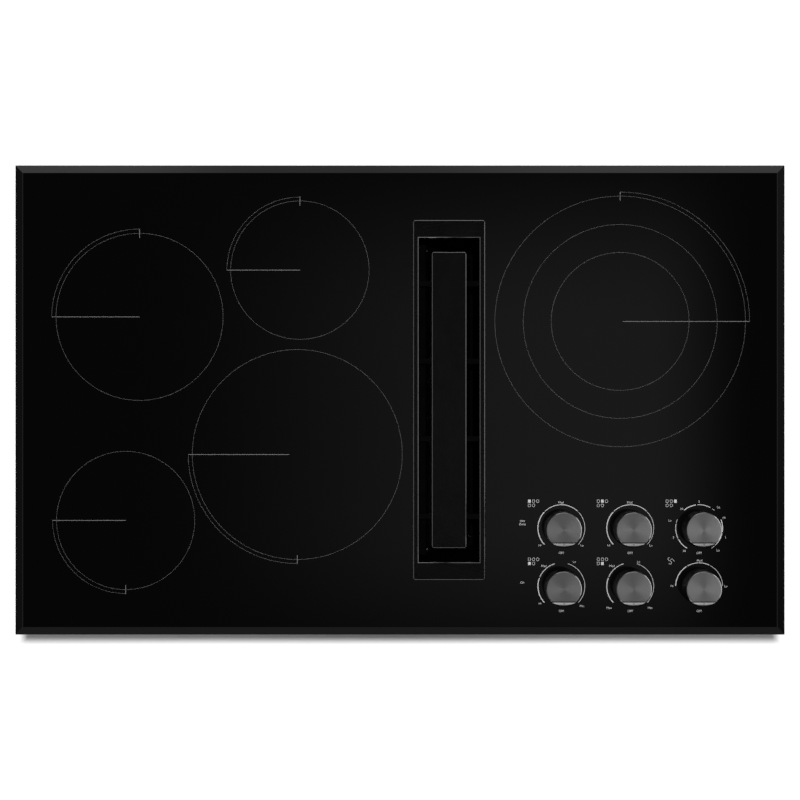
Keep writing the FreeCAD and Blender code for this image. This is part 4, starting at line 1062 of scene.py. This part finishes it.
def studio():
    """A dim sky with soft lights, placed by u = x / z and v = y / z, and white for the camera."""
    world = bpy.data.worlds.new("studio")
    bpy.context.scene.world = world
    world.use_nodes = True
    tree = world.node_tree
    axes = add(tree, "SeparateXYZ", {0: add(tree, "TexCoord").outputs["Generated"]}).outputs
    up = add(tree, "Math", {0: axes[2], 1: 0.05}, operation="MAXIMUM").outputs[0]
    u = add(tree, "Math", {0: axes[0], 1: up}, operation="DIVIDE").outputs[0]
    v = add(tree, "Math", {0: axes[1], 1: up}, operation="DIVIDE").outputs[0]
    wide = add(tree, "Math", {0: u}, operation="ABSOLUTE").outputs[0]
    high = add(tree, "Math", {0: v}, operation="ABSOLUTE").outputs[0]
    above = smooth(tree, axes[2], -0.05, 0.05)
    lengthwise = product(tree, smooth(tree, v, 0.2, 0.05), smooth(tree, v, -0.22, -0.08))
    ends = [
        product(tree, smooth(tree, u, -0.13, -0.26), BEHIND_LEFT),
        product(tree, smooth(tree, u, -0.05, 0.2), BEHIND_RIGHT),
    ]
    back = add(tree, "Math", {0: total_of(tree, ends), 1: BEHIND}, operation="ADD").outputs[0]
    middle = smooth(tree, wide, 1.4, 0.7)
    front = product(tree, smooth(tree, v, -0.45, -0.78), smooth(tree, v, -2.0, -1.0))
    beside = product(tree, smooth(tree, wide, 0.32, 0.46), smooth(tree, wide, 0.95, 0.78))
    lights = [
        product(tree, smooth(tree, u, -0.2, 0.15), smooth(tree, u, 0.255, 0.175), lengthwise, OVERHEAD),
        product(tree, smooth(tree, v, 0.45, 0.78), middle, back),
        product(tree, front, middle, IN_FRONT),
        product(tree, smooth(tree, u, 0.6, 1.0), smooth(tree, v, -0.5, 0.3), TO_THE_RIGHT),
        product(tree, smooth(tree, u, -0.6, -1.0), TO_THE_LEFT),
        product(tree, beside, smooth(tree, high, 0.6, 0.4), BESIDE),
        product(tree, smooth(tree, axes[2], 0.4, 0.05), HORIZON),
    ]
    level = product(tree, total_of(tree, lights), above)
    level = add(tree, "Math", {0: level, 1: DARKEST}, operation="ADD").outputs[0]
    ray = add(tree, "LightPath").outputs["Is Camera Ray"]
    strength = add(tree, "Mix", {0: ray, 2: level, 3: 1.0}).outputs[0]
    sky = tree.nodes["Background"]
    sky.inputs["Color"].default_value = (1, 1, 1, 1)
    tree.links.new(strength, sky.inputs["Strength"])


# The floor glows white but for a soft rectangle under the object, where its shadow shows
SHADOW_X = (0.57, 0.6)
SHADOW_Y = (0.341, 0.364)
SHADOW_SHIFT = 0.0215
FLOOR_GLOW = 0.5


def floor():
    """A plain pale floor under the object's lowest point, whiter far out."""
    bm = bmesh.new()
    bmesh.ops.create_grid(bm, x_segments=8, y_segments=8, size=4.0)
    mesh = bpy.data.meshes.new("floor")
    bm.to_mesh(mesh)
    bm.free()
    made, tree, shader = paint("floor_paper", (0.6, 0.6, 0.6), 0.9)
    where = add(tree, "TexCoord").outputs["Object"]
    axes = add(tree, "SeparateXYZ", {0: where}).outputs
    x = add(tree, "Math", {0: axes[0]}, operation="ABSOLUTE").outputs[0]
    centred = add(tree, "Math", {0: axes[1], 1: SHADOW_SHIFT}, operation="ADD").outputs[0]
    y = add(tree, "Math", {0: centred}, operation="ABSOLUTE").outputs[0]
    beyond = {0: smooth(tree, x, *SHADOW_X), 1: smooth(tree, y, *SHADOW_Y)}
    away = add(tree, "Math", beyond, operation="MAXIMUM").outputs[0]
    rays = add(tree, "LightPath").outputs
    seen = total_of(tree, [rays["Is Camera Ray"], rays["Is Glossy Ray"], rays["Is Transmission Ray"]])
    glow = product(tree, away, FLOOR_GLOW)
    squares = [product(tree, x, x), product(tree, y, y)]
    far = smooth(tree, total_of(tree, squares), 1.0, 5.0)
    glow = add(tree, "Math", {0: far, 1: FLOOR_GLOW, 2: glow}, operation="MULTIPLY_ADD").outputs[0]
    shader.inputs["Emission Color"].default_value = (1, 1, 1, 1)
    tree.links.new(product(tree, seen, glow), shader.inputs["Emission Strength"])
    tree.links.new(spread(tree, noise(tree, 60), 0.85, 0.95), shader.inputs["Roughness"])
    mesh.materials.append(made)
    ground = bpy.data.objects.new("floor", mesh)
    bpy.context.scene.collection.objects.link(ground)
    ground.location.z = FLOOR_Z


# The lamps in metres and watts
KEY_PLACE = (0, 0.068, 1.826)
KEY_SIZE = 0.05
KEY_ENERGY = 60
BOX_WIDTH = 1.8
BOX_DISTANCE = 1.6


def key_light():
    """A small lamp above the object that casts its shadow on the floor and isn't mirrored."""
    lamp = bpy.data.lights.new("key", "AREA")
    lamp.shape = "DISK"
    lamp.size = KEY_SIZE
    lamp.energy = KEY_ENERGY
    holder = bpy.data.objects.new("key", lamp)
    bpy.context.scene.collection.objects.link(holder)
    holder.location = KEY_PLACE
    holder.visible_glossy = False


def soft_box(name, direction, high, tall, radiance):
    """A large low light, tall metres high, that only shows as a reflection in gloss and metal."""
    lamp = bpy.data.lights.new(name, "AREA")
    lamp.shape = "RECTANGLE"
    lamp.size = BOX_WIDTH
    lamp.size_y = tall
    lamp.energy = radiance * math.pi * lamp.size * lamp.size_y
    holder = bpy.data.objects.new(name, lamp)
    bpy.context.scene.collection.objects.link(holder)
    holder.location = (direction[0] * BOX_DISTANCE, direction[1] * BOX_DISTANCE, high)
    holder.rotation_euler = (-holder.location).to_track_quat("-Z", "Y").to_euler()
    holder.visible_diffuse = False
    holder.visible_camera = False
    return holder


def spare(glass_object, lamps):
    """The boxes stay out of the glass, which from low down would mirror them and look white."""
    left_out = bpy.data.collections.new("left_out")
    left_out.objects.link(glass_object)
    for lamp in lamps:
        lamp.light_linking.receiver_collection = left_out
    left_out.collection_objects[0].light_linking.link_state = "EXCLUDE"


CAMERA_LENS, CAMERA_SENSOR = 62.66, 36
CAMERA_HEIGHT = 1.65 + GLASS_TOP


def camera():
    """The photo's camera looks straight down at the glass."""
    lens = bpy.data.cameras.new("camera")
    lens.lens = CAMERA_LENS
    lens.sensor_width = CAMERA_SENSOR
    holder = bpy.data.objects.new("camera", lens)
    bpy.context.scene.collection.objects.link(holder)
    holder.location = (0, 0, CAMERA_HEIGHT)
    bpy.context.scene.camera = holder


bpy.context.scene.view_settings.view_transform = "Standard"
camera()
studio()
key_light()
boxes = [
    soft_box("box_right", (1, 0), 0.15, 1.0, 2.2),
    soft_box("box_left", (-1, 0), 0.12, 0.5, 0.95),
    soft_box("box_back", (0, 1), 0.12, 0.4, 1.8),
    soft_box("box_front", (0, -1), 0.5, 0.6, 1.2),
]
floor()

glass = softened("glass_panel", ["glass"], "cooktop", 0.25 * MM)
spare(glass, boxes)
softened("grille_frame", ["enamel", "edge", "void"], "vent_grille", 1.1 * MM, 3, 5.0 * MM, 7.9 * MM)
softened("grille_panel", ["enamel", "edge"], "vent_grille", 1.1 * MM, 3, None, 7.9 * MM)
# The filter's frame, near-black as painted shade down the vent
softened("filter_frame", ["filter_painted_shade"], "grease_filter", 0.5 * MM)
for dial in DIALS:
    knob(dial)
zone_prints()
dial_prints()
blower_details()
motor()
sheet_details()
case_details()
bracket_screws()
filter_details()
